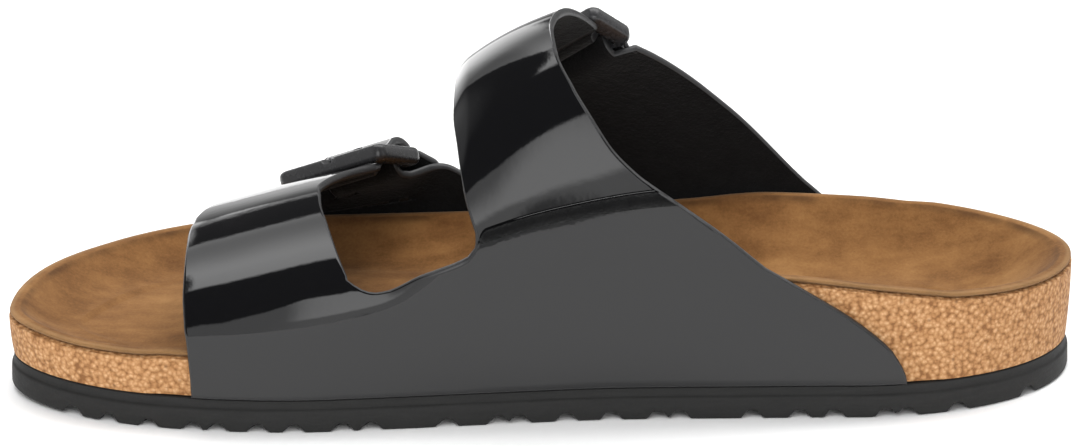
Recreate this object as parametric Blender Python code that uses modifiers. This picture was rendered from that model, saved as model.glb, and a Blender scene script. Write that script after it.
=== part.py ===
"""A two-strap slide sandal for the right foot, standing empty on its sole.

Units and frame: the tables below are in millimetres and every mesh is in metres. +X runs from
the toe to the heel, -Y is the medial (inner) side, +Z is up, and the origin lies on the floor
under the middle of the sandal. The tables count from the sole's axis, SIDE_SHIFT away.

The leather is cut from one surface, the last. A place on it is (along, wrap): along is its X in
millimetres, and wrap runs from 0 at the medial edge of the sole, over the crest at 0.5, to 1 at
the lateral edge.
"""

import math
from collections import namedtuple

import bmesh
import bpy
import numpy as np
from mathutils import Matrix, Vector

MM = 0.001
GAP = 0.3
SIDE_SHIFT = -1.76
MEDIAL, LATERAL = -1.0, 1.0

# Outline of the outsole: half breadths from the axis, between a round toe and a round heel
HALF_LENGTH = 131.0
TOE_CENTRE, HEEL_CENTRE = -62.0, 75.0
TOE_TIP, HEEL_TIP = -18.6, 0.0
TOE_STEPS, WAIST_STEPS, HEEL_STEPS = 8, 10, 7
Outline = namedtuple("Outline", "along medial lateral")
OUTLINE = (
    Outline(TOE_CENTRE, 50.6, 50.6),
    Outline(-36, 48.2, 48.6),
    Outline(-12, 45.2, 44.6),
    Outline(20, 41.9, 39.4),
    Outline(45, 41.2, 36.6),
    Outline(HEEL_CENTRE, 40.6, 35.6),
)

# Outsole: a slab with a rounded lower edge, a little toe spring and wavy cross grooves
OUTSOLE_THICK = 8.3
TOE_SPRING, SPRING_START = 1.5, -95.0
Level = namedtuple("Level", "height inset")
OUTSOLE_SIDE = (
    Level(0.0, 0.9),
    Level(1.1, 0.0),
    Level(5.6, 0.1),
    Level(6.2, 0.6),
    Level(OUTSOLE_THICK, 0.8),
)
GROOVE_PITCH, GROOVE_FIRST, GROOVE_COUNT = 11.4, -116.0, 21
GROOVE_WAVE, GROOVE_WAVELENGTH, GROOVE_REACH, GROOVE_STATIONS = 1.6, 62.0, 58.0, 9
Groove = namedtuple("Groove", "half_width height")
GROOVE_SECTION = (Groove(3.2, -0.6), Groove(2.5, 0.8), Groove(1.3, 2.0))

# Leather's wall, and how far its outer face stands outside the outsole's edge
LEATHER_THICK, LEATHER_PROUD = 2.0, 0.7

# Cork and suede: rim heights on both sides, height of the foot's floor, width of the dished wall
Bed = namedtuple("Bed", "along medial lateral floor wall")
BED = (
    Bed(-131, 21.2, 21.2, 14.6, 15),
    Bed(-110, 19.8, 20.2, 13.6, 15),
    Bed(-86, 19.7, 20.4, 13.0, 15),
    Bed(-60, 20.8, 21.2, 12.8, 16),
    Bed(-35, 25.0, 22.6, 13.6, 18),
    Bed(0, 32.0, 26.0, 15.4, 21),
    Bed(35, 36.8, 30.2, 16.8, 24),
    Bed(58, 36.0, 32.6, 17.2, 25),
    Bed(80, 33.6, 31.8, 17.2, 25),
    Bed(100, 31.0, 30.6, 17.2, 25),
    Bed(131, 29.4, 29.4, 17.6, 25),
)
SUEDE_THICK = 1.2
RIM_PROFILE = (Level(-0.5, 0.0), Level(-0.1, 0.8), Level(0.0, 2.0), Level(-0.3, 3.4))
WALL_STEPS = (0.12, 0.3, 0.52, 0.76, 1.0)
WALL_POWER = 2.0
FLOOR_STEPS = (0.5, 0.9)
SPINE_SHRINK = 0.72
Mound = namedtuple("Mound", "along across height long wide")
MOUNDS = (Mound(-84, -6, 1.9, 7, 30), Mound(-14, 2, 1.8, 16, 18), Mound(14, -24, 2.6, 26, 12))
MOUND_FADE = 10.2
CORK_BOTTOM_INSET, CORK_RIM_INSET, CORK_BULGE = 0.7, -0.2, 0.2
TUCK_INSET = LEATHER_THICK - LEATHER_PROUD + GAP
Tuck = namedtuple("Tuck", "side start full_from full_to end")
TUCKS = (Tuck(MEDIAL, -99, -90, 91, 101), Tuck(LATERAL, -84, -74, 91, 101))

# Leather: the height of its lower edge, and the last's sections
LEATHER_BASE = OUTSOLE_THICK + GAP
SIDE_SHARE = 0.25
Last = namedtuple("Last", "along crest lean medial_wall lateral_wall medial_power lateral_power")
LAST = (
    Last(-100, 36.5, -14, 21, 18, 2.3, 1.5),
    Last(-82, 41.5, -13, 22, 19, 2.3, 1.5),
    Last(-55, 48.3, -11, 24, 22, 2.3, 1.5),
    Last(-38, 51.0, -9, 28, 25, 2.3, 1.6),
    Last(-18, 80.6, -6, 34, 28, 2.3, 1.65),
    Last(6, 93.2, -5, 38, 30, 2.3, 1.65),
    Last(30, 100.0, -4, 40, 32, 2.3, 1.7),
    Last(60, 105.0, -3, 40, 34, 2.3, 1.8),
    Last(100, 110.0, -3, 40, 34, 2.3, 1.8),
)
SOLE_ROWS = 6
FRONT_COLUMNS, NOTCH_COLUMNS, REAR_COLUMNS = 6, 10, 10
Edges = namedtuple("Edges", "wrap front_toe front_heel rear_toe rear_heel")
MEDIAL_EDGES = (
    Edges(0.000, -85.0, -46.2, -16.2, 88.5),
    Edges(0.030, -85.1, -46.2, -16.2, 85.4),
    Edges(0.060, -85.3, -46.2, -16.2, 77.6),
    Edges(0.100, -85.6, -46.2, -16.2, 62.3),
    Edges(0.140, -86.0, -46.2, -16.2, 45.8),
    Edges(0.185, -86.5, -46.2, -16.2, 29.2),
    Edges(0.196, -86.5, -46.2, -16.7, 25.8),
    Edges(0.205, -86.6, -46.2, -17.2, 23.3),
    Edges(0.238, -86.8, -46.2, -18.8, 16.9),
    Edges(0.250, -86.9, -46.9, -19.2, 15.3),
    Edges(0.284, -87.0, -48.4, -20.1, 11.6),
    Edges(0.330, -87.0, -50.1, -21.0, 7.4),
    Edges(0.400, -87.0, -52.4, -22.0, 3.2),
    Edges(0.470, -87.0, -54.4, -21.8, 2.0),
    Edges(0.540, -86.0, -55.0, -20.6, 4.3),
)
LATERAL_EDGES = (
    Edges(0.690, -57.0, -36.0, -5.8, 24.3),
    Edges(0.710, -57.0, -36.0, -6.4, 29.0),
    Edges(0.740, -57.0, -35.0, -7.8, 36.2),
    Edges(0.770, -57.5, -31.5, -9.4, 43.2),
    Edges(0.800, -58.5, -26.5, -11.0, 50.5),
    Edges(0.825, -60.5, -21.5, -12.4, 56.3),
    Edges(0.840, -62.0, -18.5, -13.0, 59.8),
    Edges(0.870, -64.6, -18.5, -13.0, 66.9),
    Edges(0.880, -65.2, -18.5, -13.0, 69.2),
    Edges(0.910, -66.6, -18.5, -13.0, 76.0),
    Edges(0.940, -67.5, -18.5, -13.0, 82.6),
    Edges(0.970, -67.9, -18.5, -13.0, 87.6),
    Edges(1.000, -68.0, -18.5, -13.0, 90.0),
)
# The sole part of each leather piece ends at its shoulder, the line through the bottom of its notch
Shoulder = namedtuple("Shoulder", "along medial lateral")
SHOULDER = (
    Shoulder(-48.0, 0.250, 0.87),
    Shoulder(-46.2, 0.236, 0.87),
    Shoulder(-43.4, 0.2125, 0.87),
    Shoulder(-40.3, 0.197, 0.87),
    Shoulder(-37.4, 0.193, 0.87),
    Shoulder(-34.3, 0.1905, 0.868),
    Shoulder(-31.4, 0.186, 0.864),
    Shoulder(-25.0, 0.169, 0.852),
    Shoulder(-21.0, 0.1635, 0.845),
    Shoulder(-18.7, 0.163, 0.842),
    Shoulder(-17.1, 0.167, 0.84),
    Shoulder(-16.0, 0.174, 0.84),
    Shoulder(-15.2, 0.184, 0.84),
    Shoulder(-14.0, 0.190, 0.84),
)
FRONT_WRAPS = (0.284, 0.33, 0.40, 0.47, 0.54)
REAR_WRAPS = (0.205, 0.238, 0.284, 0.33, 0.40, 0.45, 0.50)
REAR_TAB_WRAPS = (0.815, 0.79, 0.77)

# Buckles: middles of the near bar and of the hinge bar on the last, and the strap's taper to the near bar
Place = namedtuple("Place", "along wrap")
Buckle = namedtuple(
    "Buckle", "near hinge strap_reach tab_reach strap_toe_bend strap_heel_bend tab_toe_bend tab_heel_bend"
)
BUCKLES = {
    "front": Buckle(
        near=Place(-52.9, 0.70),
        hinge=Place(-44.4, 0.77),
        strap_reach=(14.2, 14.2),
        tab_reach=(14.6, 11.6),
        strap_toe_bend=Place(-84.5, 0.63),
        strap_heel_bend=Place(-53.0, 0.61),
        tab_toe_bend=Place(-58.5, 0.83),
        tab_heel_bend=Place(-28.5, 0.785),
    ),
    "rear": Buckle(
        near=Place(2.0, 0.672),
        hinge=Place(9.8, 0.714),
        strap_reach=(14.2, 15.0),
        tab_reach=(14.8, 16.4),
        strap_toe_bend=Place(-20.0, 0.59),
        strap_heel_bend=Place(6.0, 0.58),
        tab_toe_bend=Place(-2.0, 0.757),
        tab_heel_bend=Place(33.0, 0.727),
    ),
}
STRAP_HALF = 10.9
TAPER_STEPS, TAB_STEPS, TAPER_STRAIGHTEN = 5, 4, 0.2
FRAME_HALF_WIDTH, FRAME_OPENING_HALF = 16.4, 11.2
FRAME_THICK, FRAME_RAISE = 4.4, 0.5
NEAR_BAR_HALF, HINGE_BAR_HALF = 2.2, 1.0
FRAME_CORNER, OPENING_CORNER, CORNER_STEPS = 2.6, 0.8, 4
NEAR_BAR_LIFT = 0.4
ROLL_RADIUS, ROLL_TURN, ROLL_STEPS = FRAME_THICK / 2 - FRAME_RAISE + 2 * GAP, math.radians(262), 8
STRAP_OVER_ROLL = ROLL_RADIUS + 2 * LEATHER_THICK + GAP
STRAP_LEAD, TAB_LEAD = 2.6, 1.7
STRAP_ARC_END = math.radians(62)
ARC_STEPS = 5
TAB_WIDTHS = (-1.0, -0.8, -0.6, -0.41, -0.22, 0.22, 0.41, 0.6, 0.8, 1.0)
Tip = namedtuple("Tip", "reach lift width")
STRAP_TIP = (
    Tip(0.62, 4.4, 1.0),
    Tip(0.85, 3.0, 1.0),
    Tip(1.05, 2.7, 0.98),
    Tip(1.20, 2.7, 0.86),
    Tip(1.28, 2.7, 0.66),
    Tip(1.32, 2.7, 0.42),
)
PRONG_RADIUS, PRONG_OVERHANG, PRONG_NOTCH_HALF = 0.8, 1.0, 1.3
PRONG_LIFT = HINGE_BAR_HALF + GAP + PRONG_RADIUS
PRONG_SLOT_SHARE, PRONG_SLOT_HALF, PRONG_SLOT_TURN = 0.62, (3.7, 1.5), math.radians(100)
STRAP_HOLE_REACH, STRAP_HOLE_RADIUS = 0.95, 1.7
HOLE_SIDES, CUTTER_DEPTH, WELD_REACH = 16, 14.0, 0.03

Finish = namedtuple("Finish", "colour roughness metallic coat")
FINISHES = {
    "outsole": Finish((0.012, 0.012, 0.013), 0.62, 0.0, 0.0),
    "cork": Finish((0.46, 0.24, 0.10), 0.85, 0.0, 0.0),
    "suede": Finish((0.27, 0.13, 0.05), 0.95, 0.0, 0.0),
    "leather": Finish((0.006, 0.006, 0.007), 0.12, 0.0, 1.0),
    "buckle": Finish((0.02, 0.02, 0.022), 0.35, 0.0, 0.2),
    "prong": Finish((0.16, 0.16, 0.165), 0.3, 1.0, 0.0),
}


def column(rows, name):
    return np.array([getattr(row, name) for row in rows], float)


def smooth(rows, key, name, at):
    """Monotone cubic through a table's column, read at places of its key column, level past both ends."""
    xs, ys = column(rows, key), column(rows, name)
    steps = np.diff(xs)
    slopes = np.diff(ys) / steps
    tangents = np.zeros(len(xs))
    same_way = slopes[:-1] * slopes[1:] > 0
    before = 2 * steps[1:] + steps[:-1]
    after = steps[1:] + 2 * steps[:-1]
    with np.errstate(divide="ignore", invalid="ignore"):
        harmonic = (before + after) / (before / slopes[:-1] + after / slopes[1:])
    tangents[1:-1] = np.where(same_way, harmonic, 0.0)
    at = np.clip(at, xs[0], xs[-1])
    index = np.clip(np.searchsorted(xs, at, side="right") - 1, 0, len(steps) - 1)
    step = steps[index]
    t = (at - xs[index]) / step
    return (
        ys[index] * (1 + 2 * t) * (1 - t) ** 2
        + step * tangents[index] * t * (1 - t) ** 2
        + ys[index + 1] * t * t * (3 - 2 * t)
        + step * tangents[index + 1] * t * t * (t - 1)
    )


def ease(start, end, at):
    """0 before start, 1 after end, and a smooth step between them."""
    t = np.clip((np.asarray(at, float) - start) / (end - start), 0, 1)
    return t * t * (3 - 2 * t)


def unit(vector):
    return vector / np.linalg.norm(vector)


def facing(outward, vector):
    """The unit vector along this line that points outwards."""
    return unit(vector) * np.sign(np.dot(vector, outward))


def breadth(side, along):
    """Half breadth of the outsole on one side: quarter ellipses at toe and heel, the table between."""
    name = "medial" if side == MEDIAL else "lateral"
    toe_half, heel_half = getattr(OUTLINE[0], name), getattr(OUTLINE[-1], name)
    toe_share = np.clip((TOE_CENTRE - along) / (HALF_LENGTH + TOE_CENTRE), 0, 1)
    heel_share = np.clip((along - HEEL_CENTRE) / (HALF_LENGTH - HEEL_CENTRE), 0, 1)
    toe_tip, heel_tip = side * TOE_TIP, side * HEEL_TIP
    toe = toe_tip + (toe_half - toe_tip) * np.sqrt(1 - toe_share**2)
    heel = heel_tip + (heel_half - heel_tip) * np.sqrt(1 - heel_share**2)
    waist = smooth(OUTLINE, "along", name, along)
    return np.where(along < TOE_CENTRE, toe, np.where(along > HEEL_CENTRE, heel, waist))


def toe_spring(along):
    reach = HALF_LENGTH + SPRING_START
    return TOE_SPRING * (np.clip(SPRING_START - along, 0, None) / reach) ** 2


class SoleOutline:
    """The outsole's outline as a closed loop: toe tip, medial side, heel tip, lateral side."""

    def __init__(self):
        quarter = math.pi / 2
        toe = TOE_CENTRE - (HALF_LENGTH + TOE_CENTRE) * np.cos(np.linspace(0, quarter, TOE_STEPS + 1))
        waist = np.linspace(TOE_CENTRE, HEEL_CENTRE, WAIST_STEPS + 1)[1:-1]
        heel = HEEL_CENTRE + (HALF_LENGTH - HEEL_CENTRE) * np.sin(np.linspace(0, quarter, HEEL_STEPS + 1))
        stations = np.concatenate([toe, waist, heel])
        self.count = len(stations)
        self.along = np.concatenate([stations, stations[-2:0:-1]])
        self.side = np.where(np.arange(len(self.along)) < self.count, MEDIAL, LATERAL)
        across = np.where(
            self.side == MEDIAL, -breadth(MEDIAL, self.along), breadth(LATERAL, self.along)
        )
        self.points = np.stack([self.along, across], axis=1)
        run = np.roll(self.points, -1, axis=0) - np.roll(self.points, 1, axis=0)
        run /= np.linalg.norm(run, axis=1)[:, None]
        self.outward = np.stack([run[:, 1], -run[:, 0]], axis=1)

    def ring(self, inset, height):
        """The loop moved in by inset and lifted to height; both may differ from point to point."""
        plan = self.points - self.outward * np.broadcast_to(inset, self.along.shape)[:, None]
        return np.column_stack([plan, np.broadcast_to(height, self.along.shape)])

    def by_side(self, rows, key, medial, lateral):
        return np.where(
            self.side == MEDIAL,
            smooth(rows, key, medial, self.along),
            smooth(rows, key, lateral, self.along),
        )

    def tuck(self):
        """How far the cork is drawn in to make room for the leather, as a share from 0 to 1."""
        shares = [
            ease(row.start, row.full_from, self.along) * (1 - ease(row.full_to, row.end, self.along))
            for row in TUCKS
        ]
        return np.where(self.side == MEDIAL, shares[0], shares[1])

    def bridge(self, lower, upper):
        """Quads between two rings that start at these vertex numbers, facing outwards."""
        size = len(self.along)
        return [
            (lower + i, lower + (i + 1) % size, upper + (i + 1) % size, upper + i) for i in range(size)
        ]

    def ladder(self, start, facing_up):
        """Faces that close a ring, each from the medial to the lateral side."""
        size = len(self.along)
        faces = []
        for i in range(self.count - 1):
            face = [start + i, start + i + 1, start + (size - i - 1) % size, start + (size - i) % size]
            face = list(dict.fromkeys(face))
            faces.append(face if facing_up else face[::-1])
        return faces


def mesh_object(name, points, faces, finish, collection):
    """A mesh object from points in millimetres."""
    mesh = bpy.data.meshes.new(name)
    mesh.from_pydata((np.asarray(points) * MM).tolist(), [], faces)
    mesh.validate()
    mesh.update()
    return add_object(name, mesh, finish, collection)


def add_object(name, data, finish, collection):
    if finish:
        data.materials.append(principled(name, finish))
    part = bpy.data.objects.new(name, data)
    collection.objects.link(part)
    return part


def principled(name, finish):
    material = bpy.data.materials.new(name)
    material.use_nodes = True
    shader = material.node_tree.nodes["Principled BSDF"]
    shader.inputs["Base Color"].default_value = (*finish.colour, 1.0)
    shader.inputs["Roughness"].default_value = finish.roughness
    shader.inputs["Metallic"].default_value = finish.metallic
    shader.inputs["Coat Weight"].default_value = finish.coat
    return material


def stacked(outline, rings):
    """Points of rings laid one above another, and the quads that join them."""
    faces = []
    size = len(outline.along)
    for level in range(len(rings) - 1):
        faces += outline.bridge(level * size, (level + 1) * size)
    return np.concatenate(rings), faces


def cut(part, cutter, name):
    """Subtracts the cutter from the part."""
    boolean = part.modifiers.new(name, "BOOLEAN")
    boolean.operation = "DIFFERENCE"
    boolean.solver = "EXACT"
    boolean.object = cutter
    cutter.hide_render = True
    cutter.display_type = "WIRE"


def make_tread_cutter(collection):
    """One bar for each groove: its section carried along a wave that crosses the sole."""
    across = np.linspace(-GROOVE_REACH, GROOVE_REACH, GROOVE_STATIONS)
    section = [(-row.half_width, row.height) for row in GROOVE_SECTION]
    section += [(row.half_width, row.height) for row in reversed(GROOVE_SECTION)]
    points, faces = [], []
    for groove in range(GROOVE_COUNT):
        middle = GROOVE_FIRST + groove * GROOVE_PITCH
        phase = math.pi * (groove % 2)
        wave = GROOVE_WAVE * np.sin(2 * math.pi * across / GROOVE_WAVELENGTH + phase)
        start, sides = len(points), len(section)
        for place, shift in zip(across, wave):
            for offset, height in section:
                along = middle + shift + offset
                points.append((along, place, height + toe_spring(middle + shift)))
        for station in range(GROOVE_STATIONS - 1):
            near, far = start + station * sides, start + (station + 1) * sides
            faces += [
                (near + i, near + (i + 1) % sides, far + (i + 1) % sides, far + i) for i in range(sides)
            ]
        end = start + (GROOVE_STATIONS - 1) * sides
        faces.append([start + i for i in reversed(range(sides))])
        faces.append([end + i for i in range(sides)])
    cutter = mesh_object("tread_cutter", points, faces, None, collection)
    face_outwards(cutter.data)
    return cutter


def face_outwards(mesh):
    shape = bmesh.new()
    shape.from_mesh(mesh)
    bmesh.ops.recalc_face_normals(shape, faces=shape.faces)
    shape.to_mesh(mesh)
    shape.free()


def make_outsole(outline, finish, collection, cutters):
    """A slab on the outline, with a step in its side, cut across by the tread's grooves."""
    spring = toe_spring(outline.along)
    rings = [outline.ring(level.inset, level.height + spring) for level in OUTSOLE_SIDE]
    points, faces = stacked(outline, rings)
    faces += outline.ladder(0, facing_up=False)
    faces += outline.ladder((len(rings) - 1) * len(outline.along), facing_up=True)
    outsole = mesh_object("outsole", points, faces, finish, collection)
    cut(outsole, make_tread_cutter(cutters), "tread")
    return outsole


def bed_rings(outline):
    """Rings of the foot's bed from its outer edge over the rim and down the dished wall to the floor."""
    tuck = outline.tuck()
    rim = outline.by_side(BED, "along", "medial", "lateral")
    floor = smooth(BED, "along", "floor", outline.along)
    wall = smooth(BED, "along", "wall", outline.along)
    edge = outline.ring(CORK_RIM_INSET + (TUCK_INSET - CORK_RIM_INSET) * tuck, rim)
    spine_along = outline.along * SPINE_SHRINK
    middle = (breadth(LATERAL, spine_along) - breadth(MEDIAL, spine_along)) / 2
    spine = np.column_stack([spine_along, middle])
    inward = spine - edge[:, :2]
    reach = np.linalg.norm(inward, axis=1)
    rim_end = RIM_PROFILE[-1].inset

    def ring(depth, height):
        plan = edge[:, :2] + inward * (depth / reach)[:, None]
        return np.column_stack([plan, height + mounds(plan, depth - rim_end)])

    rings = [ring(np.full_like(rim, level.inset), rim + level.height) for level in RIM_PROFILE]
    top = rim + RIM_PROFILE[-1].height
    for share in WALL_STEPS:
        rings.append(ring(rim_end + wall * share, floor + (top - floor) * (1 - share) ** WALL_POWER))
    for share in FLOOR_STEPS:
        depth = rim_end + wall + (reach - rim_end - wall) * share
        rings.append(ring(depth, smooth(BED, "along", "floor", edge[:, 0] + inward[:, 0] * depth / reach)))
    return rings


def mounds(plan, depth):
    """Low swellings of the bed: toe bar, middle of the forefoot and arch. They fade out at the rim."""
    height = sum(
        mound.height
        * np.exp(-(((plan[:, 0] - mound.along) / mound.long) ** 2))
        * np.exp(-(((plan[:, 1] - mound.across) / mound.wide) ** 2))
        for mound in MOUNDS
    )
    return height * ease(0, MOUND_FADE, depth)


def make_insole(outline, finish, collection):
    """The suede cover: the bed's surface with a thin wall below it."""
    rings = bed_rings(outline)
    points, faces = stacked(outline, rings)
    faces += outline.ladder((len(rings) - 1) * len(outline.along), facing_up=True)
    insole = mesh_object("insole_suede", points, faces, finish, collection)
    wall = insole.modifiers.new("suede", "SOLIDIFY")
    wall.thickness = SUEDE_THICK * MM
    wall.offset = -1.0
    return insole


def make_cork(outline, insole, finish, collection):
    """The cork block: its side leans out to the rim, and its top lies just under the suede."""
    size = len(outline.along)
    surface = insole.data
    top = np.array([vertex.co for vertex in surface.vertices]) / MM
    normals = np.array([normal.vector for normal in surface.vertex_normals])
    below = top - normals * (SUEDE_THICK + GAP)
    rim_edge = top[:size] - np.array([0.0, 0.0, SUEDE_THICK + GAP])
    tuck = outline.tuck()
    spring = toe_spring(outline.along)
    base_height = OUTSOLE_THICK + GAP + spring
    base = outline.ring(CORK_BOTTOM_INSET + (TUCK_INSET - CORK_BOTTOM_INSET) * tuck, base_height)
    middle = (base + rim_edge) / 2
    middle[:, :2] += outline.outward * (CORK_BULGE * (1 - tuck))[:, None]
    rings = [base, middle, rim_edge] + [below[i : i + size] for i in range(size, len(below), size)]
    points, faces = stacked(outline, rings)
    faces += outline.ladder(0, facing_up=False)
    faces += outline.ladder((len(rings) - 1) * size, facing_up=True)
    return mesh_object("midsole_cork", points, faces, finish, collection)


def last(along, wrap):
    """Points of the leather's outer face: an upright side, then a superellipse up to the crest."""
    along, wrap = np.broadcast_arrays(np.asarray(along, float), np.asarray(wrap, float))
    lateral = wrap >= 0.5
    side = np.where(lateral, LATERAL, MEDIAL)
    rise = 2 * np.minimum(wrap, 1 - wrap)
    half = np.where(lateral, breadth(LATERAL, along), breadth(MEDIAL, along)) + LEATHER_PROUD

    def read(name):
        return smooth(LAST, "along", name, along)

    wall = np.where(lateral, read("lateral_wall"), read("medial_wall"))
    power = np.where(lateral, read("lateral_power"), read("medial_power"))
    turn = np.clip((rise - SIDE_SHARE) / (1 - SIDE_SHARE), 0, 1) * math.pi / 2
    lean = read("lean")
    across = lean + (side * half - lean) * np.clip(np.cos(turn), 0, 1) ** (2 / power)
    height = wall + (read("crest") - wall) * np.sin(turn) ** (2 / power)
    upright = rise < SIDE_SHARE
    across = np.where(upright, side * half, across)
    height = np.where(upright, LEATHER_BASE + (wall - LEATHER_BASE) * rise / SIDE_SHARE, height)
    return np.stack([along, across, height], axis=-1)


def last_slopes(along, wrap):
    """The last's two tangents, for a millimetre along and for a unit of wrap."""
    small_along, small_wrap = 0.5, 0.004
    by_along = (last(along + small_along, wrap) - last(along - small_along, wrap)) / (2 * small_along)
    by_wrap = (last(along, wrap + small_wrap) - last(along, wrap - small_wrap)) / (2 * small_wrap)
    return by_along, by_wrap


def last_normal(along, wrap):
    by_along, by_wrap = last_slopes(along, wrap)
    normal = np.cross(by_along, by_wrap)
    return normal / np.linalg.norm(normal, axis=-1, keepdims=True)


class BuckleSeat:
    """Where a buckle lies: down runs from the near bar to the hinge bar, over runs along the bars."""

    def __init__(self, buckle):
        self.buckle = buckle
        self.near, self.hinge = last(*buckle.near), last(*buckle.hinge)
        self.run = np.subtract(buckle.hinge, buckle.near)
        self.down = unit(self.hinge - self.near)
        outward = last_normal(*buckle.near) + last_normal(*buckle.hinge)
        self.over = unit(np.cross(outward, self.down))
        self.over *= np.sign(self.over[0])
        self.out = facing(outward, np.cross(self.over, self.down))
        _, by_wrap = last_slopes(*buckle.hinge)
        self.tab_up = unit(self.over * np.dot(by_wrap, self.over) - by_wrap)
        self.tab_out = facing(outward, np.cross(self.tab_up, self.over))
        self.hinge_axis = self.hinge + self.tab_out * ROLL_RADIUS
        self.near_axis = self.near + self.out * (NEAR_BAR_LIFT + FRAME_THICK / 2 - FRAME_RAISE)
        self.frame_down = unit(self.hinge_axis - self.near_axis)
        self.frame_out = facing(outward, np.cross(self.over, self.frame_down))
        self.frame_reach = np.linalg.norm(self.hinge_axis - self.near_axis)

    def across(self, place):
        """The step in (along, wrap) that moves one millimetre along the bars on the last."""
        slopes = np.column_stack(last_slopes(*place))
        return np.linalg.lstsq(slopes, self.over, rcond=None)[0]

    def end(self, place, reach):
        """The place this many millimetres along a bar from its middle."""
        return place + reach * self.across(place)

    def row(self, middle, widths, reach=(STRAP_HALF, STRAP_HALF)):
        """A straight row of points along the bars, with its reach to the toe side and to the heel side."""
        return middle + np.outer(widths * np.where(widths < 0, *reach), self.over)

    def pose(self):
        """Pose of the frame: its X along the bars, its Y towards the hinge, its Z outwards."""
        pose = Matrix.Identity(4)
        middle = self.near_axis + self.frame_out * FRAME_RAISE
        axes = (self.over, np.cross(self.frame_out, self.over), self.frame_out, middle * MM)
        for i, axis in enumerate(axes):
            pose.col[i][:3] = axis
        return pose


class Sheet:
    """Rows of points that grow into one open surface."""

    def __init__(self):
        self.points, self.faces = [], []

    def add(self, row):
        first = len(self.points)
        self.points.extend(row)
        return list(range(first, len(self.points)))

    def join(self, before, after, skip=()):
        """Quads between two rows; after lies further round the last than before."""
        self.faces += [
            (before[i], before[i + 1], after[i + 1], after[i])
            for i in range(len(before) - 1)
            if i not in skip
        ]


def shares(count):
    return np.linspace(0, 1, count + 1)


def between(start, end, share):
    return start + (end - start) * share


def bezier(start, bend, end, share):
    """Quadratic curve of places from start to end, drawn towards bend."""
    start, bend, end = (np.asarray(place, float) for place in (start, bend, end))
    return start * (1 - share) ** 2 + 2 * bend * share * (1 - share) + end * share**2


def edge(edges, name, wrap):
    return smooth(edges, "wrap", name, wrap)


def sole_part(sheet, edges, side, front_shares, rear_shares):
    """The rows of a leather piece below its notch, from the sole up.

    Returns, for each strap, its points of the top row and the places of that row's two ends.
    """
    name, sole = ("medial", 0.0) if side == MEDIAL else ("lateral", 1.0)
    toe_shoulder, heel_shoulder = getattr(SHOULDER[0], name), getattr(SHOULDER[-1], name)
    rows = []
    for share in shares(SOLE_ROWS):
        toe_wrap = between(sole, toe_shoulder, share)
        heel_wrap = between(sole, heel_shoulder, share)
        front_heel = edge(edges, "front_heel", toe_wrap)
        rear_toe = edge(edges, "rear_toe", heel_wrap)
        along = np.concatenate([
            between(edge(edges, "front_toe", toe_wrap), front_heel, front_shares),
            between(front_heel, rear_toe, shares(NOTCH_COLUMNS))[1:-1],
            between(rear_toe, edge(edges, "rear_heel", heel_wrap), rear_shares),
        ])
        wrap = between(sole, smooth(SHOULDER, "along", name, along), share)
        rows.append(sheet.add(last(along, wrap)))
    for below, above in zip(rows, rows[1:]):
        sheet.join(*((below, above) if side == MEDIAL else (above, below)))
    parts = slice(0, len(front_shares)), slice(len(along) - len(rear_shares), len(along))
    places = np.column_stack([along, wrap])
    return [(rows[-1][part], places[part][[0, -1]]) for part in parts]


def strap_ends(edges, strap, wrap):
    """Places of a strap's toe edge and heel edge at this wrap."""
    return [Place(edge(edges, strap + side, wrap), wrap) for side in ("_toe", "_heel")]


def strap_rows(edges, strap, wraps, row_shares):
    """Rows at these wraps from a strap's toe edge to its heel edge."""
    ends = [strap_ends(edges, strap, wrap) for wrap in wraps]
    return [last(between(toe.along, heel.along, row_shares), toe.wrap) for toe, heel in ends]


def taper_rows(seat, middle, starts, bends, straight, start_shares, steps):
    """Rows that turn and narrow from a row on the last to a straight row along a bar."""
    reach = (straight - last(*middle)) @ seat.over
    ends = seat.end(middle, reach[0]), seat.end(middle, reach[-1])
    end_shares = (reach - reach[0]) / (reach[-1] - reach[0])
    to_straight = straight - last(*between(ends[0], ends[1], end_shares[:, None]).T)
    rows = []
    for share in shares(steps)[1:]:
        toe, heel = (bezier(*edge_line, share) for edge_line in zip(starts, bends, ends))
        places = between(toe, heel, between(start_shares, end_shares, share)[:, None])
        rows.append(last(*places.T) + to_straight * ease(TAPER_STRAIGHTEN, 1.0, share))
    return rows


def strap_over_buckle(seat, widths):
    """Rows of the strap under the near bar, up over the rolled tab and down to its rounded tip."""
    rise = np.dot(seat.hinge_axis - seat.near, seat.out)
    reach = np.dot(seat.hinge_axis - seat.near, seat.down)
    run = reach - STRAP_LEAD
    slope = math.atan2(rise, run) + math.asin(STRAP_OVER_ROLL / math.hypot(rise, run))
    rows = [seat.row(seat.near + seat.down * STRAP_LEAD, widths)]
    for share in shares(ARC_STEPS):
        turn = between(-slope, STRAP_ARC_END, share)
        spoke = seat.down * math.sin(turn) + seat.out * math.cos(turn)
        rows.append(seat.row(seat.hinge_axis + spoke * STRAP_OVER_ROLL, widths))
    for tip in STRAP_TIP:
        middle = seat.buckle.hinge + seat.run * tip.reach
        places = middle + np.outer(widths * STRAP_HALF * tip.width, seat.across(middle))
        rows.append(last(*places.T) + last_normal(*places.T) * tip.lift)
    return rows


def leather_object(name, sheet, finish, collection):
    piece = mesh_object(name, sheet.points, sheet.faces, finish, collection)
    wall = piece.modifiers.new("leather", "SOLIDIFY")
    wall.thickness = LEATHER_THICK * MM
    wall.offset = -1.0
    return piece


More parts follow.
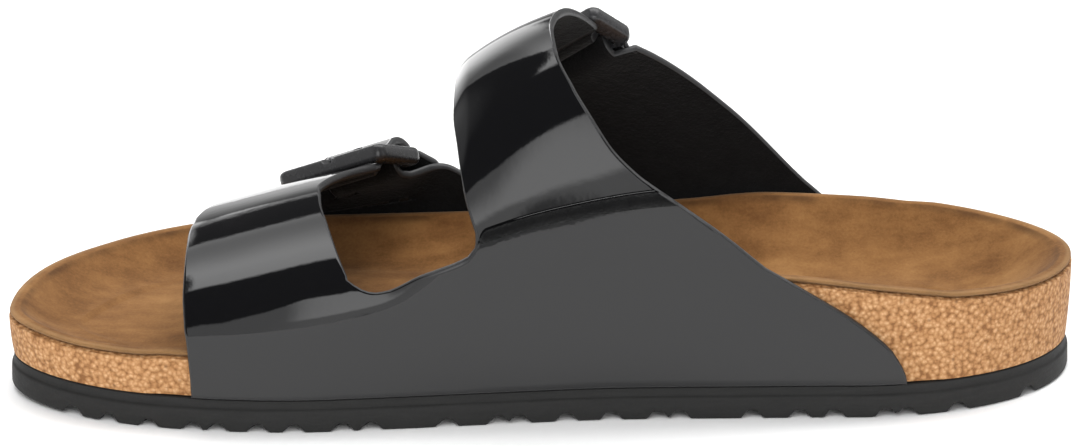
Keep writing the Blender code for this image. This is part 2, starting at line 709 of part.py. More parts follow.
def make_upper_medial(seats, finish, collection, cutters):
    """The long leather piece: medial side, both straps over the foot, and their ends in the buckles."""
    sheet = Sheet()
    row_shares = {"front": shares(FRONT_COLUMNS), "rear": shares(REAR_COLUMNS)}
    wraps = {"front": FRONT_WRAPS, "rear": REAR_WRAPS}
    tops = sole_part(sheet, MEDIAL_EDGES, MEDIAL, row_shares["front"], row_shares["rear"])
    for (strap, seat), (top, _) in zip(seats.items(), tops):
        buckle, across = seat.buckle, row_shares[strap]
        widths = 2 * across - 1
        straight = seat.row(seat.near, widths, buckle.strap_reach)
        starts = strap_ends(MEDIAL_EDGES, strap, wraps[strap][-1])
        bends = buckle.strap_toe_bend, buckle.strap_heel_bend
        rows = strap_rows(MEDIAL_EDGES, strap, wraps[strap], across)
        rows += taper_rows(seat, buckle.near, starts, bends, straight, across, TAPER_STEPS)
        rows += strap_over_buckle(seat, widths)
        before = top
        for row in rows:
            after = sheet.add(row)
            sheet.join(before, after)
            before = after
    upper = leather_object("upper_medial", sheet, finish, collection)
    cut(upper, make_hole_cutter(seats, cutters), "prong holes")
    return upper


def make_hole_cutter(seats, collection):
    """Pegs for the prong's slot and the spare hole of each strap."""
    shape = bmesh.new()
    for seat in seats.values():
        slot = seat.pose() @ Matrix.Translation((0, PRONG_SLOT_SHARE * seat.frame_reach * MM, 0))
        along, across = PRONG_SLOT_HALF
        add_peg(shape, slot, across, along)
        place = seat.buckle.hinge + seat.run * STRAP_HOLE_REACH
        turn = Vector(last_normal(*place)).to_track_quat("Z", "Y").to_matrix().to_4x4()
        hole = Matrix.Translation(last(*place) * MM) @ turn
        add_peg(shape, hole, STRAP_HOLE_RADIUS, STRAP_HOLE_RADIUS)
    mesh = bpy.data.meshes.new("hole_cutter")
    shape.to_mesh(mesh)
    shape.free()
    return add_object("hole_cutter", mesh, None, collection)


def add_peg(shape, pose, half_across, half_along):
    """An upright cylinder in this pose, with an oval section."""
    size = Matrix.Diagonal((half_across * MM, half_along * MM, CUTTER_DEPTH * MM, 1))
    bmesh.ops.create_cone(
        shape, cap_ends=True, segments=HOLE_SIDES, radius1=1.0, radius2=1.0, depth=1.0, matrix=pose @ size
    )


def make_upper_lateral(seats, finish, collection):
    """The short leather piece: lateral side and two tabs rolled round the hinge bars."""
    sheet = Sheet()
    widths = np.array(TAB_WIDTHS)
    row_shares = shares(len(widths) - 1)
    slot = (len(widths) // 2 - 1,)
    wraps = {"front": (), "rear": REAR_TAB_WRAPS}
    tops = sole_part(sheet, LATERAL_EDGES, LATERAL, row_shares, row_shares)
    for (strap, seat), (top, starts) in zip(seats.items(), tops):
        buckle = seat.buckle
        if wraps[strap]:
            starts = strap_ends(LATERAL_EDGES, strap, wraps[strap][-1])
        bends = buckle.tab_toe_bend, buckle.tab_heel_bend
        straight = seat.row(seat.hinge - seat.tab_up * TAB_LEAD, widths, buckle.tab_reach)
        rows = strap_rows(LATERAL_EDGES, strap, wraps[strap], row_shares)
        rows += taper_rows(seat, buckle.hinge, starts, bends, straight, row_shares, TAB_STEPS)
        rows.append(seat.row(seat.hinge, widths))
        before = top
        for row in rows:
            after = sheet.add(row)
            sheet.join(after, before)
            before = after
        for share in shares(ROLL_STEPS)[1:]:
            turn = ROLL_TURN * share
            spoke = seat.tab_up * math.sin(turn) - seat.tab_out * math.cos(turn)
            after = sheet.add(seat.row(seat.hinge_axis + spoke * ROLL_RADIUS, widths))
            sheet.join(after, before, skip=slot if turn > PRONG_SLOT_TURN else ())
            before = after
    return leather_object("upper_lateral", sheet, finish, collection)


def rounded_rectangle(low, high, radius):
    """Corner arcs of a rectangle with corners low and high, counter-clockwise."""
    corners = ((high[0], high[1], 0), (low[0], high[1], 1), (low[0], low[1], 2), (high[0], low[1], 3))
    points = []
    for x, y, quarter in corners:
        middle = (x - math.copysign(radius, x - (low[0] + high[0]) / 2),
                  y - math.copysign(radius, y - (low[1] + high[1]) / 2))
        for share in shares(CORNER_STEPS):
            angle = (quarter + share) * math.pi / 2
            points.append((middle[0] + radius * math.cos(angle), middle[1] + radius * math.sin(angle)))
    return points


def make_frame(name, seat, finish, collection, cutters):
    """A rectangular frame with a window: its near bar on the strap, its thinner hinge bar in the tab."""
    curve = bpy.data.curves.new(name, "CURVE")
    curve.dimensions = "2D"
    curve.fill_mode = "BOTH"
    curve.extrude = FRAME_THICK / 2 * MM
    reach = seat.frame_reach
    outer = (-FRAME_HALF_WIDTH, -NEAR_BAR_HALF), (FRAME_HALF_WIDTH, reach + HINGE_BAR_HALF)
    window = (-FRAME_OPENING_HALF, NEAR_BAR_HALF), (FRAME_OPENING_HALF, reach - HINGE_BAR_HALF)
    for low, high, radius in ((*outer, FRAME_CORNER), (*window, OPENING_CORNER)):
        add_polyline(curve, [(x, y, 0.0) for x, y in rounded_rectangle(low, high, radius)], cyclic=True)
    solid = bpy.data.objects.new(name, curve)
    mesh = bpy.data.meshes.new_from_object(solid)
    bpy.data.objects.remove(solid)
    weld(mesh)
    frame = add_object(name, mesh, finish, collection)
    frame.matrix_world = seat.pose()
    cut(frame, make_frame_cutter(name + "_cutter", seat, cutters), "hinge bar and notch")
    return frame


def weld(mesh):
    """Joins the caps of a filled curve to its sides."""
    shape = bmesh.new()
    shape.from_mesh(mesh)
    bmesh.ops.remove_doubles(shape, verts=shape.verts, dist=WELD_REACH * MM)
    bmesh.ops.recalc_face_normals(shape, faces=shape.faces)
    shape.to_mesh(mesh)
    shape.free()


def make_frame_cutter(name, seat, collection):
    """Blocks that thin the hinge bar from both faces and notch the near bar for the prong."""
    bar_top, bar_bottom, deep = HINGE_BAR_HALF - FRAME_RAISE, -HINGE_BAR_HALF - FRAME_RAISE, FRAME_THICK
    window, notch = FRAME_OPENING_HALF, PRONG_NOTCH_HALF
    start, end = seat.frame_reach - NEAR_BAR_HALF, seat.frame_reach + NEAR_BAR_HALF
    blocks = (
        ((-window, start, bar_top), (window, end, deep)),
        ((-window, start, -deep), (window, end, bar_bottom)),
        ((-notch, -2 * NEAR_BAR_HALF, bar_top), (notch, 2 * NEAR_BAR_HALF, deep)),
    )
    shape = bmesh.new()
    for low, high in blocks:
        low, high = Vector(low) * MM, Vector(high) * MM
        pose = Matrix.Translation((low + high) / 2) @ Matrix.Diagonal((*(high - low), 1))
        bmesh.ops.create_cube(shape, size=1.0, matrix=pose)
    mesh = bpy.data.meshes.new(name)
    shape.to_mesh(mesh)
    shape.free()
    cutter = add_object(name, mesh, None, collection)
    cutter.matrix_world = seat.pose()
    return cutter


def make_prong(name, seat, finish, collection):
    """A pin from above the hinge bar, through the strap's slot, to its rest on the near bar."""
    curve = bpy.data.curves.new(name, "CURVE")
    curve.dimensions = "3D"
    curve.bevel_depth = PRONG_RADIUS * MM
    curve.bevel_resolution = 2
    curve.use_fill_caps = True
    height = PRONG_LIFT - FRAME_RAISE
    ends = (0, -PRONG_OVERHANG, height), (0, seat.frame_reach, height)
    add_polyline(curve, ends, cyclic=False)
    prong = add_object(name, curve, finish, collection)
    prong.matrix_world = seat.pose()
    return prong


def add_polyline(curve, points, cyclic):
    spline = curve.splines.new("POLY")
    spline.points.add(len(points) - 1)
    for target, point in zip(spline.points, points):
        target.co = (*(value * MM for value in point), 1.0)
    spline.use_cyclic_u = cyclic


def clear_scene():
    for item in list(bpy.data.objects):
        bpy.data.objects.remove(item)


def new_collection(name):
    collection = bpy.data.collections.new(name)
    bpy.context.scene.collection.children.link(collection)
    return collection


def hang_on_stand(parts, cutters):
    """Parents everything to an empty that stands SIDE_SHIFT from the origin."""
    pieces = [*parts.objects, *cutters.objects]
    stand = bpy.data.objects.new("stand", None)
    stand.location = (0.0, SIDE_SHIFT * MM, 0.0)
    parts.objects.link(stand)
    for piece in pieces:
        piece.parent = stand


def main():
    clear_scene()
    parts, cutters = new_collection("slide_sandal"), new_collection("cutters")
    outline = SoleOutline()
    seats = {strap: BuckleSeat(buckle) for strap, buckle in BUCKLES.items()}
    make_outsole(outline, FINISHES["outsole"], parts, cutters)
    insole = make_insole(outline, FINISHES["suede"], parts)
    make_cork(outline, insole, FINISHES["cork"], parts)
    make_upper_medial(seats, FINISHES["leather"], parts, cutters)
    make_upper_lateral(seats, FINISHES["leather"], parts)
    for strap, seat in seats.items():
        make_frame(f"buckle_{strap}_frame", seat, FINISHES["buckle"], parts, cutters)
        make_prong(f"buckle_{strap}_prong", seat, FINISHES["prong"], parts)
    hang_on_stand(parts, cutters)


if __name__ == "__main__":
    main()
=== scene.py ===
"""Looks of the slide sandal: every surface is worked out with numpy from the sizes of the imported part.

The frame is the part's own: +X from toe to heel, -Y the medial side, +Z up. Tables are in
millimetres and count sideways from the sole's axis, which lies SIDE_SHIFT from the frame's.
Meshes are in metres. A place on the last is (along, wrap): along is its X, and wrap runs from 0
at the medial edge of the sole, over the crest at 0.5, to 1 at the lateral edge.
"""

import math
from collections import namedtuple

import bpy
import numpy as np
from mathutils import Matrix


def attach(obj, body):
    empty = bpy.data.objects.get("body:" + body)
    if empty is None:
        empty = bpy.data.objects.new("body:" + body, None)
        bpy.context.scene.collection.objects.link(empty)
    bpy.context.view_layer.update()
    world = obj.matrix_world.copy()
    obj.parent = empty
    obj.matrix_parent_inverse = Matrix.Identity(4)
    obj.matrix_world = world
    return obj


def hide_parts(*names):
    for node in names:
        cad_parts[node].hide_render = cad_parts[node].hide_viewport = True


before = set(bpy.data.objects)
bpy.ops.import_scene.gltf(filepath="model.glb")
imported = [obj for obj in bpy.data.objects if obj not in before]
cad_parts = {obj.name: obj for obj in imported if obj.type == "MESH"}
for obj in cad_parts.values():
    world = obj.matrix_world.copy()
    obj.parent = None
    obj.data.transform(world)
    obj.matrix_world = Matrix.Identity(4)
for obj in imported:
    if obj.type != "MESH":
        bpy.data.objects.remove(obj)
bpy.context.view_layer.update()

MM = 0.001
GAP = 0.3
SIDE_SHIFT = -1.76
MEDIAL, LATERAL = -1.0, 1.0
WELD_DIGITS = 4

# Outline of the outsole: half breadths from the axis, between a round toe and a round heel
HALF_LENGTH = 131.0
TOE_CENTRE, HEEL_CENTRE = -62.0, 75.0
TOE_TIP, HEEL_TIP = -18.6, 0.0
TOE_STEPS, WAIST_STEPS, HEEL_STEPS = 110, 270, 90
Outline = namedtuple("Outline", "along medial lateral")
OUTLINE = (
    Outline(TOE_CENTRE, 50.6, 50.6),
    Outline(-36, 48.2, 48.6),
    Outline(-12, 45.2, 44.6),
    Outline(20, 41.9, 39.4),
    Outline(45, 41.2, 36.6),
    Outline(HEEL_CENTRE, 40.6, 35.6),
)

# Outsole: side profile, toe spring and the grooves of the tread, listed where they meet the medial edge
OUTSOLE_THICK = 8.3
TOE_SPRING, SPRING_START = 1.5, -95.0
Level = namedtuple("Level", "height inset")
OUTSOLE_SIDE = (
    Level(0.0, 0.9),
    Level(0.2, 0.5),
    Level(0.55, 0.17),
    Level(1.1, 0.0),
    Level(2.4, 0.0),
    Level(3.8, 0.03),
    Level(5.3, 0.08),
    Level(5.7, 0.16),
    Level(5.95, 0.4),
    Level(6.2, 0.6),
    Level(7.2, 0.7),
    Level(8.05, 0.75),
    Level(OUTSOLE_THICK, 1.0),
)
GROOVES = (
    -116.8, -106.6, -95.0, -83.4, -77.2, -67.0, -58.3, -46.7, -40.2, -23.0, -11.0, -6.4,
    4.3, 15.1, 26.0, 31.3, 49.0, 60.1, 68.8, 81.3, 85.9, 99.0, 120.5,
)
GROOVE_DEEP, GROOVE_OPEN, GROOVE_FLOOR, GROOVE_FADE = 2.0, 3.0, 1.0, 5.0
GROOVE_WAVE, GROOVE_WAVELENGTH, GROOVE_WAVE_START = 2.6, 34.0, 45.0
GROOVE_DRIFT, GROOVE_DRIFT_TURN, GROOVE_DRIFT_BASE = 2.2, 2.3, 0.4
TREAD_COLUMNS, TREAD_SHARP = 48, math.radians(38)

# Leather's wall, and how far its outer face stands outside the outsole's edge
LEATHER_THICK, LEATHER_PROUD = 2.0, 0.7
LEATHER_ROUND, EDGE_STEPS = 0.5, 5

# Cork and suede: rim heights on both sides, height of the foot's floor, width of the dished wall
Bed = namedtuple("Bed", "along medial lateral floor wall")
BED = (
    Bed(-131, 21.2, 21.2, 14.6, 15),
    Bed(-110, 19.8, 20.2, 13.6, 15),
    Bed(-86, 19.7, 20.4, 13.0, 15),
    Bed(-60, 20.8, 21.2, 12.8, 16),
    Bed(-35, 25.0, 22.6, 13.6, 18),
    Bed(0, 32.0, 26.0, 15.4, 21),
    Bed(35, 36.8, 30.2, 16.8, 24),
    Bed(58, 36.0, 32.6, 17.2, 25),
    Bed(80, 33.6, 31.8, 17.2, 25),
    Bed(100, 31.0, 30.6, 17.2, 25),
    Bed(131, 29.4, 29.4, 17.6, 25),
)
SUEDE_THICK, SUEDE_ROUND = 1.2, 0.35
RIM_PROFILE = (
    Level(-0.5, 0.0),
    Level(-0.22, 0.3),
    Level(-0.1, 0.8),
    Level(-0.02, 1.4),
    Level(0.0, 2.0),
    Level(-0.04, 2.7),
    Level(-0.3, 3.4),
)
RIM_END = RIM_PROFILE[-1].inset
WALL_ROWS, WALL_POWER = 26, 2.0
FLOOR_ROWS, FLOOR_END = 16, 0.9
SPINE_SHRINK = 0.72
Mound = namedtuple("Mound", "along across height long wide")
MOUNDS = (Mound(-84, -6, 1.9, 7, 30), Mound(-14, 2, 1.8, 16, 18), Mound(14, -24, 2.6, 26, 12))
MOUND_FADE = 10.2
CORK_BOTTOM_INSET, CORK_RIM_INSET, CORK_BULGE = 0.7, -0.2, 0.2
CORK_ROWS, CORK_RIM_SKIP, CORK_SHARP = 24, 3, math.radians(50)
TUCK_INSET = LEATHER_THICK - LEATHER_PROUD + GAP
Tuck = namedtuple("Tuck", "side start full_from full_to end")
TUCKS = (Tuck(MEDIAL, -99, -90, 91, 101), Tuck(LATERAL, -84, -74, 91, 101))

# Leather: the height of its lower edge, and the last's sections
LEATHER_BASE = OUTSOLE_THICK + GAP
SIDE_SHARE = 0.25
Last = namedtuple("Last", "along crest lean medial_wall lateral_wall medial_power lateral_power")
LAST = (
    Last(-100, 36.5, -14, 21, 18, 2.3, 1.5),
    Last(-82, 41.5, -13, 22, 19, 2.3, 1.5),
    Last(-55, 48.3, -11, 24, 22, 2.3, 1.5),
    Last(-38, 51.0, -9, 28, 25, 2.3, 1.6),
    Last(-18, 80.6, -6, 34, 28, 2.3, 1.65),
    Last(6, 93.2, -5, 38, 30, 2.3, 1.65),
    Last(30, 100.0, -4, 40, 32, 2.3, 1.7),
    Last(60, 105.0, -3, 40, 34, 2.3, 1.8),
    Last(100, 110.0, -3, 40, 34, 2.3, 1.8),
)
Edges = namedtuple("Edges", "wrap front_toe front_heel rear_toe rear_heel")
MEDIAL_EDGES = (
    Edges(0.000, -85.0, -46.2, -16.2, 88.5),
    Edges(0.030, -85.1, -46.2, -16.2, 85.4),
    Edges(0.060, -85.3, -46.2, -16.2, 77.6),
    Edges(0.100, -85.6, -46.2, -16.2, 62.3),
    Edges(0.140, -86.0, -46.2, -16.2, 45.8),
    Edges(0.185, -86.5, -46.2, -16.2, 29.2),
    Edges(0.196, -86.5, -46.2, -16.7, 25.8),
    Edges(0.205, -86.6, -46.2, -17.2, 23.3),
    Edges(0.238, -86.8, -46.2, -18.8, 16.9),
    Edges(0.250, -86.9, -46.9, -19.2, 15.3),
    Edges(0.284, -87.0, -48.4, -20.1, 11.6),
    Edges(0.330, -87.0, -50.1, -21.0, 7.4),
    Edges(0.400, -87.0, -52.4, -22.0, 3.2),
    Edges(0.470, -87.0, -54.4, -21.8, 2.0),
    Edges(0.540, -86.0, -55.0, -20.6, 4.3),
)
LATERAL_EDGES = (
    Edges(0.690, -57.0, -36.0, -5.8, 24.3),
    Edges(0.710, -57.0, -36.0, -6.4, 29.0),
    Edges(0.740, -57.0, -35.0, -7.8, 36.2),
    Edges(0.770, -57.5, -31.5, -9.4, 43.2),
    Edges(0.800, -58.5, -26.5, -11.0, 50.5),
    Edges(0.825, -60.5, -21.5, -12.4, 56.3),
    Edges(0.840, -62.0, -18.5, -13.0, 59.8),
    Edges(0.870, -64.6, -18.5, -13.0, 66.9),
    Edges(0.880, -65.2, -18.5, -13.0, 69.2),
    Edges(0.910, -66.6, -18.5, -13.0, 76.0),
    Edges(0.940, -67.5, -18.5, -13.0, 82.6),
    Edges(0.970, -67.9, -18.5, -13.0, 87.6),
    Edges(1.000, -68.0, -18.5, -13.0, 90.0),
)
Shoulder = namedtuple("Shoulder", "along medial lateral")
SHOULDER = (
    Shoulder(-48.0, 0.250, 0.87),
    Shoulder(-46.2, 0.236, 0.87),
    Shoulder(-43.4, 0.2125, 0.87),
    Shoulder(-40.3, 0.197, 0.87),
    Shoulder(-37.4, 0.193, 0.87),
    Shoulder(-34.3, 0.1905, 0.868),
    Shoulder(-31.4, 0.186, 0.864),
    Shoulder(-25.0, 0.169, 0.852),
    Shoulder(-21.0, 0.1635, 0.845),
    Shoulder(-18.7, 0.163, 0.842),
    Shoulder(-17.1, 0.167, 0.84),
    Shoulder(-16.0, 0.174, 0.84),
    Shoulder(-15.2, 0.184, 0.84),
    Shoulder(-14.0, 0.190, 0.84),
)
SOLE_ROWS, NOTCH_COLUMNS, TAPER_ROWS = 22, 18, 18
TAPER_STRAIGHTEN = 0.2
StrapGrid = namedtuple("StrapGrid", "columns rows end_wrap tab_wrap tab_rows")
STRAP_GRIDS = {
    "front": StrapGrid(44, 60, 0.54, 0.87, 0),
    "rear": StrapGrid(72, 80, 0.50, 0.77, 12),
}

# Buckles: middles of the near bar and of the hinge bar on the last, and the strap's taper to the near bar
Place = namedtuple("Place", "along wrap")
Buckle = namedtuple(
    "Buckle", "near hinge strap_reach tab_reach strap_toe_bend strap_heel_bend tab_toe_bend tab_heel_bend"
)
BUCKLES = {
    "front": Buckle(
        near=Place(-52.9, 0.70),
        hinge=Place(-44.4, 0.77),
        strap_reach=(14.2, 14.2),
        tab_reach=(14.6, 11.6),
        strap_toe_bend=Place(-84.5, 0.63),
        strap_heel_bend=Place(-53.0, 0.61),
        tab_toe_bend=Place(-66.5, 0.832),
        tab_heel_bend=Place(-28.5, 0.785),
    ),
    "rear": Buckle(
        near=Place(2.0, 0.672),
        hinge=Place(9.8, 0.714),
        strap_reach=(14.2, 15.0),
        tab_reach=(14.8, 16.4),
        strap_toe_bend=Place(-20.0, 0.59),
        strap_heel_bend=Place(6.0, 0.58),
        tab_toe_bend=Place(-2.0, 0.757),
        tab_heel_bend=Place(33.0, 0.727),
    ),
}
STRAP_HALF = 10.9
FRAME_HALF_WIDTH, FRAME_OPENING_HALF = 16.4, 11.2
FRAME_THICK, FRAME_RAISE = 4.4, 0.5
NEAR_BAR_HALF, HINGE_BAR_HALF = 2.2, 1.0
FRAME_CORNER, OPENING_CORNER, HINGE_BLEND = 2.6, 0.8, 1.5
NEAR_BAR_LIFT = 0.4
ROLL_RADIUS = FRAME_THICK / 2 - FRAME_RAISE + 2 * GAP
ROLL_TURN, ROLL_ROWS = math.radians(262), 30
STRAP_OVER_ROLL = ROLL_RADIUS + 2 * LEATHER_THICK + GAP
STRAP_LEAD, TAB_LEAD = 2.6, 1.7
STRAP_ARC_END, ARC_STEPS, SPLINE_STEPS = math.radians(62), 5, 5
TAB_WIDTHS = (-1.0, -0.8, -0.6, -0.41, -0.22, 0.22, 0.41, 0.6, 0.8, 1.0)
TAB_SPLIT = 4
Tip = namedtuple("Tip", "reach lift width")
STRAP_TIP = (
    Tip(0.62, 4.4, 1.0),
    Tip(0.85, 3.0, 1.0),
    Tip(1.05, 2.7, 0.98),
    Tip(1.20, 2.7, 0.86),
    Tip(1.28, 2.7, 0.66),
    Tip(1.32, 2.7, 0.42),
)
PRONG_RADIUS, PRONG_OVERHANG, PRONG_POINTS, PRONG_CAP_POINTS = 0.8, 1.0, 26, 7
PRONG_NOTCH_FLAT, PRONG_NOTCH_OPEN = 1.0, 1.8
PRONG_LIFT = HINGE_BAR_HALF + GAP + PRONG_RADIUS
PRONG_SLOT_SHARE, PRONG_SLOT_HALF, PRONG_SLOT_TURN = 0.62, (3.7, 1.5), math.radians(100)
STRAP_HOLE_REACH, STRAP_HOLE_RADIUS, STRAP_HOLE_LIFT = 0.95, 1.7, 2.8
FRAME_SIDES, FRAME_CORNERS, FRAME_SHARP = 40, 10, math.radians(60)
SECTION_SIDES, SECTION_POWER, ROUND_POWER = 24, 3.2, 2.0

# Camera at the photograph's angle, and the round floor
CAMERA_TARGET = (-0.81, SIDE_SHIFT - 0.6, 36.29)
CAMERA_DISTANCE, CAMERA_ELEVATION = 1300.0, math.radians(19.5)
CAMERA_LENS, SENSOR = 174.8, 36.0
FLOOR_RADIUS, FLOOR_RINGS, FLOOR_SPOKES = 480.0, 12, 96

# Square lamps, in metres and watts, and the place they aim at
Lamp = namedtuple("Lamp", "name place size power")
LAMPS = (
    Lamp("front_lamp", (-0.35, -1.0, 1.1), 0.9, 14.0),
    Lamp("top_lamp", (0.2, 0.3, 1.3), 1.0, 9.0),
)
LAMP_TARGET = (0.0, 0.0, 0.03)

# Bump that shades the front strap's toe edge as if curled up: where it starts, in metres, and its
# steepening per metre
TOE_CURL_FROM, TOE_CURL = -0.077, 3.4


def column(rows, name):
    return np.array([getattr(row, name) for row in rows], float)


def smooth(rows, key, name, at):
    """Monotone cubic through a table's column, read along its key column, level past both ends."""
    xs, ys = column(rows, key), column(rows, name)
    steps = np.diff(xs)
    slopes = np.diff(ys) / steps
    tangents = np.zeros(len(xs))
    same_way = slopes[:-1] * slopes[1:] > 0
    before = 2 * steps[1:] + steps[:-1]
    after = steps[1:] + 2 * steps[:-1]
    with np.errstate(divide="ignore", invalid="ignore"):
        harmonic = (before + after) / (before / slopes[:-1] + after / slopes[1:])
    tangents[1:-1] = np.where(same_way, harmonic, 0.0)
    at = np.clip(at, xs[0], xs[-1])
    index = np.clip(np.searchsorted(xs, at, side="right") - 1, 0, len(steps) - 1)
    step = steps[index]
    t = (at - xs[index]) / step
    return (
        ys[index] * (1 + 2 * t) * (1 - t) ** 2
        + step * tangents[index] * t * (1 - t) ** 2
        + ys[index + 1] * t * t * (3 - 2 * t)
        + step * tangents[index + 1] * t * t * (t - 1)
    )


def ease(start, end, at):
    """0 before start, 1 after end, and a smooth step between them."""
    t = np.clip((np.asarray(at, float) - start) / (end - start), 0, 1)
    return t * t * (3 - 2 * t)


def unit(vectors):
    return vectors / np.linalg.norm(vectors, axis=-1, keepdims=True)


def facing(outward, vector):
    """The unit vector along this line that points outwards."""
    return unit(vector) * np.sign(np.dot(vector, outward))


def between(start, end, share):
    return start + (end - start) * share


def shares(count):
    return np.linspace(0, 1, count + 1)


def breadth(side, along):
    """Half breadth of the outsole on one side: quarter ellipses at toe and heel, the table between."""
    name = "medial" if side == MEDIAL else "lateral"
    toe_half, heel_half = getattr(OUTLINE[0], name), getattr(OUTLINE[-1], name)
    toe_share = np.clip((TOE_CENTRE - along) / (HALF_LENGTH + TOE_CENTRE), 0, 1)
    heel_share = np.clip((along - HEEL_CENTRE) / (HALF_LENGTH - HEEL_CENTRE), 0, 1)
    toe_tip, heel_tip = side * TOE_TIP, side * HEEL_TIP
    toe = toe_tip + (toe_half - toe_tip) * np.sqrt(1 - toe_share**2)
    heel = heel_tip + (heel_half - heel_tip) * np.sqrt(1 - heel_share**2)
    waist = smooth(OUTLINE, "along", name, along)
    return np.where(along < TOE_CENTRE, toe, np.where(along > HEEL_CENTRE, heel, waist))


def toe_spring(along):
    reach = HALF_LENGTH + SPRING_START
    return TOE_SPRING * (np.clip(SPRING_START - along, 0, None) / reach) ** 2


class SoleLoop:
    """The outsole's outline as a closed loop: toe tip, medial side, heel tip, lateral side."""

    def __init__(self):
        quarter = math.pi / 2
        toe = TOE_CENTRE - (HALF_LENGTH + TOE_CENTRE) * np.cos(np.linspace(0, quarter, TOE_STEPS + 1))
        waist = np.linspace(TOE_CENTRE, HEEL_CENTRE, WAIST_STEPS + 1)[1:-1]
        heel = HEEL_CENTRE + (HALF_LENGTH - HEEL_CENTRE) * np.sin(np.linspace(0, quarter, HEEL_STEPS + 1))
        stations = np.concatenate([toe, waist, heel])
        self.count = len(stations)
        self.along = np.concatenate([stations, stations[-2:0:-1]])
        self.size = len(self.along)
        self.side = np.where(np.arange(self.size) < self.count, MEDIAL, LATERAL)
        across = np.where(
            self.side == MEDIAL, -breadth(MEDIAL, self.along), breadth(LATERAL, self.along)
        )
        self.points = np.stack([self.along, across], axis=1)
        run = unit(np.roll(self.points, -1, axis=0) - np.roll(self.points, 1, axis=0))
        self.outward = np.stack([run[:, 1], -run[:, 0]], axis=1)

    def ring(self, inset, height):
        """The loop moved in by inset and lifted to height; both may differ from point to point."""
        plan = self.points - self.outward * np.broadcast_to(inset, self.along.shape)[:, None]
        return np.column_stack([plan, np.broadcast_to(height, self.along.shape)])

    def by_side(self, rows):
        """A table's medial column on the medial side, and its lateral column on the other."""
        medial, lateral = (smooth(rows, "along", name, self.along) for name in ("medial", "lateral"))
        return np.where(self.side == MEDIAL, medial, lateral)

    def tuck(self):
        """How far the cork is drawn in to make room for the leather, as a share from 0 to 1."""
        drawn = {}
        for row in TUCKS:
            begun = ease(row.start, row.full_from, self.along)
            ended = ease(row.full_to, row.end, self.along)
            drawn[row.side] = begun * (1 - ended)
        return np.where(self.side == MEDIAL, drawn[MEDIAL], drawn[LATERAL])

    def ladder(self, ring, columns):
        """A grid that closes a ring: each of its rows runs from the medial to the lateral side."""
        medial = ring[: self.count]
        lateral = ring[(self.size - np.arange(self.count)) % self.size]
        return between(medial[:, None], lateral[:, None], shares(columns)[None, :, None])


def grid_quads(rows, columns, closed=False, start=0):
    """Quads of a grid of points laid row by row; closed joins its last column to its first."""
    index = start + np.arange(rows * columns).reshape(rows, columns)
    if closed:
        index = np.column_stack([index, index[:, :1]])
    corners = index[:-1, :-1], index[:-1, 1:], index[1:, 1:], index[1:, :-1]
    return np.stack(corners, axis=-1).reshape(-1, 4)


def welded(points, quads):
    """Makes one point of those that coincide.

    A quad that loses a corner becomes a triangle, with its last corner twice. Returns points,
    quads, and where each point first stood in the list given.
    """
    rounded = np.round(points, WELD_DIGITS)
    _, first, index = np.unique(rounded, axis=0, return_index=True, return_inverse=True)
    quads = index.reshape(-1)[quads]
    points = points[first]
    for corner in range(4):
        same = quads[:, corner] == quads[:, (corner + 1) % 4]
        quads[same] = np.roll(quads[same], 2 - corner, axis=1)
    whole = (quads[:, 0] != quads[:, 1]) & (quads[:, 1] != quads[:, 2]) & (quads[:, 3] != quads[:, 0])
    whole &= quads[:, 0] != quads[:, 2]
    return points, quads[whole], first


def vertex_normals(points, quads):
    """Normals of the points, each the sum of its faces' normals weighted by their areas."""
    a, b, c, d = (points[quads[:, corner]] for corner in range(4))
    face = np.cross(c - a, d - b)
    normals = np.zeros_like(points)
    for corner in range(4):
        np.add.at(normals, quads[:, corner], face)
    return unit(normals)


def shell(points, quads, thick, roundness):
    """Gives a sheet its wall.

    The inner face lies thick below the outer one, along the normals. Along each free edge a
    half ellipse joins the two, and the sheet is first drawn in by the ellipse's reach.
    Returns points, quads, and for each quad 0 on the outer face, 1 on the inner one, 2 on an edge.
    """
    normals = vertex_normals(points, quads)
    edges = np.concatenate([quads[:, [corner, (corner + 1) % 4]] for corner in range(4)])
    edges = edges[edges[:, 0] != edges[:, 1]]
    _, first, uses = np.unique(np.sort(edges, axis=1), axis=0, return_index=True, return_counts=True)
    border = edges[first[uses == 1]]
    run = points[border[:, 1]] - points[border[:, 0]]
    outward = unit(np.cross(run, normals[border].mean(axis=1)))
    push = np.zeros_like(points)
    for end in range(2):
        np.add.at(push, border[:, end], outward)
    rim = np.unique(border)
    push[rim] = unit(push[rim])
    outer = points - push * roundness
    inner = outer - normals * thick
    middle = (outer + inner)[rim] / 2
    angles = math.pi * np.arange(1, EDGE_STEPS) / EDGE_STEPS
    rings = [
        middle + normals[rim] * (thick / 2 * math.cos(angle)) + push[rim] * (roundness * math.sin(angle))
        for angle in angles
    ]
    size = len(points)
    place = np.zeros(size, int)
    place[rim] = np.arange(len(rim))
    layers = [border]
    layers += [2 * size + level * len(rim) + place[border] for level in range(EDGE_STEPS - 1)]
    layers += [border + size]
    edge_quads = [
        np.column_stack([above[:, 1], above[:, 0], below[:, 0], below[:, 1]])
        for above, below in zip(layers, layers[1:])
    ]
    faces = [quads, quads[:, [1, 0, 3, 2]] + size]
    triangles = quads[:, 2] == quads[:, 3]
    faces[1][triangles] = quads[triangles][:, [1, 0, 2, 2]] + size
    kinds = np.repeat([0, 1, 2], [len(quads), len(quads), sum(map(len, edge_quads))])
    return np.concatenate([outer, inner, *rings]), np.concatenate(faces + edge_quads), kinds


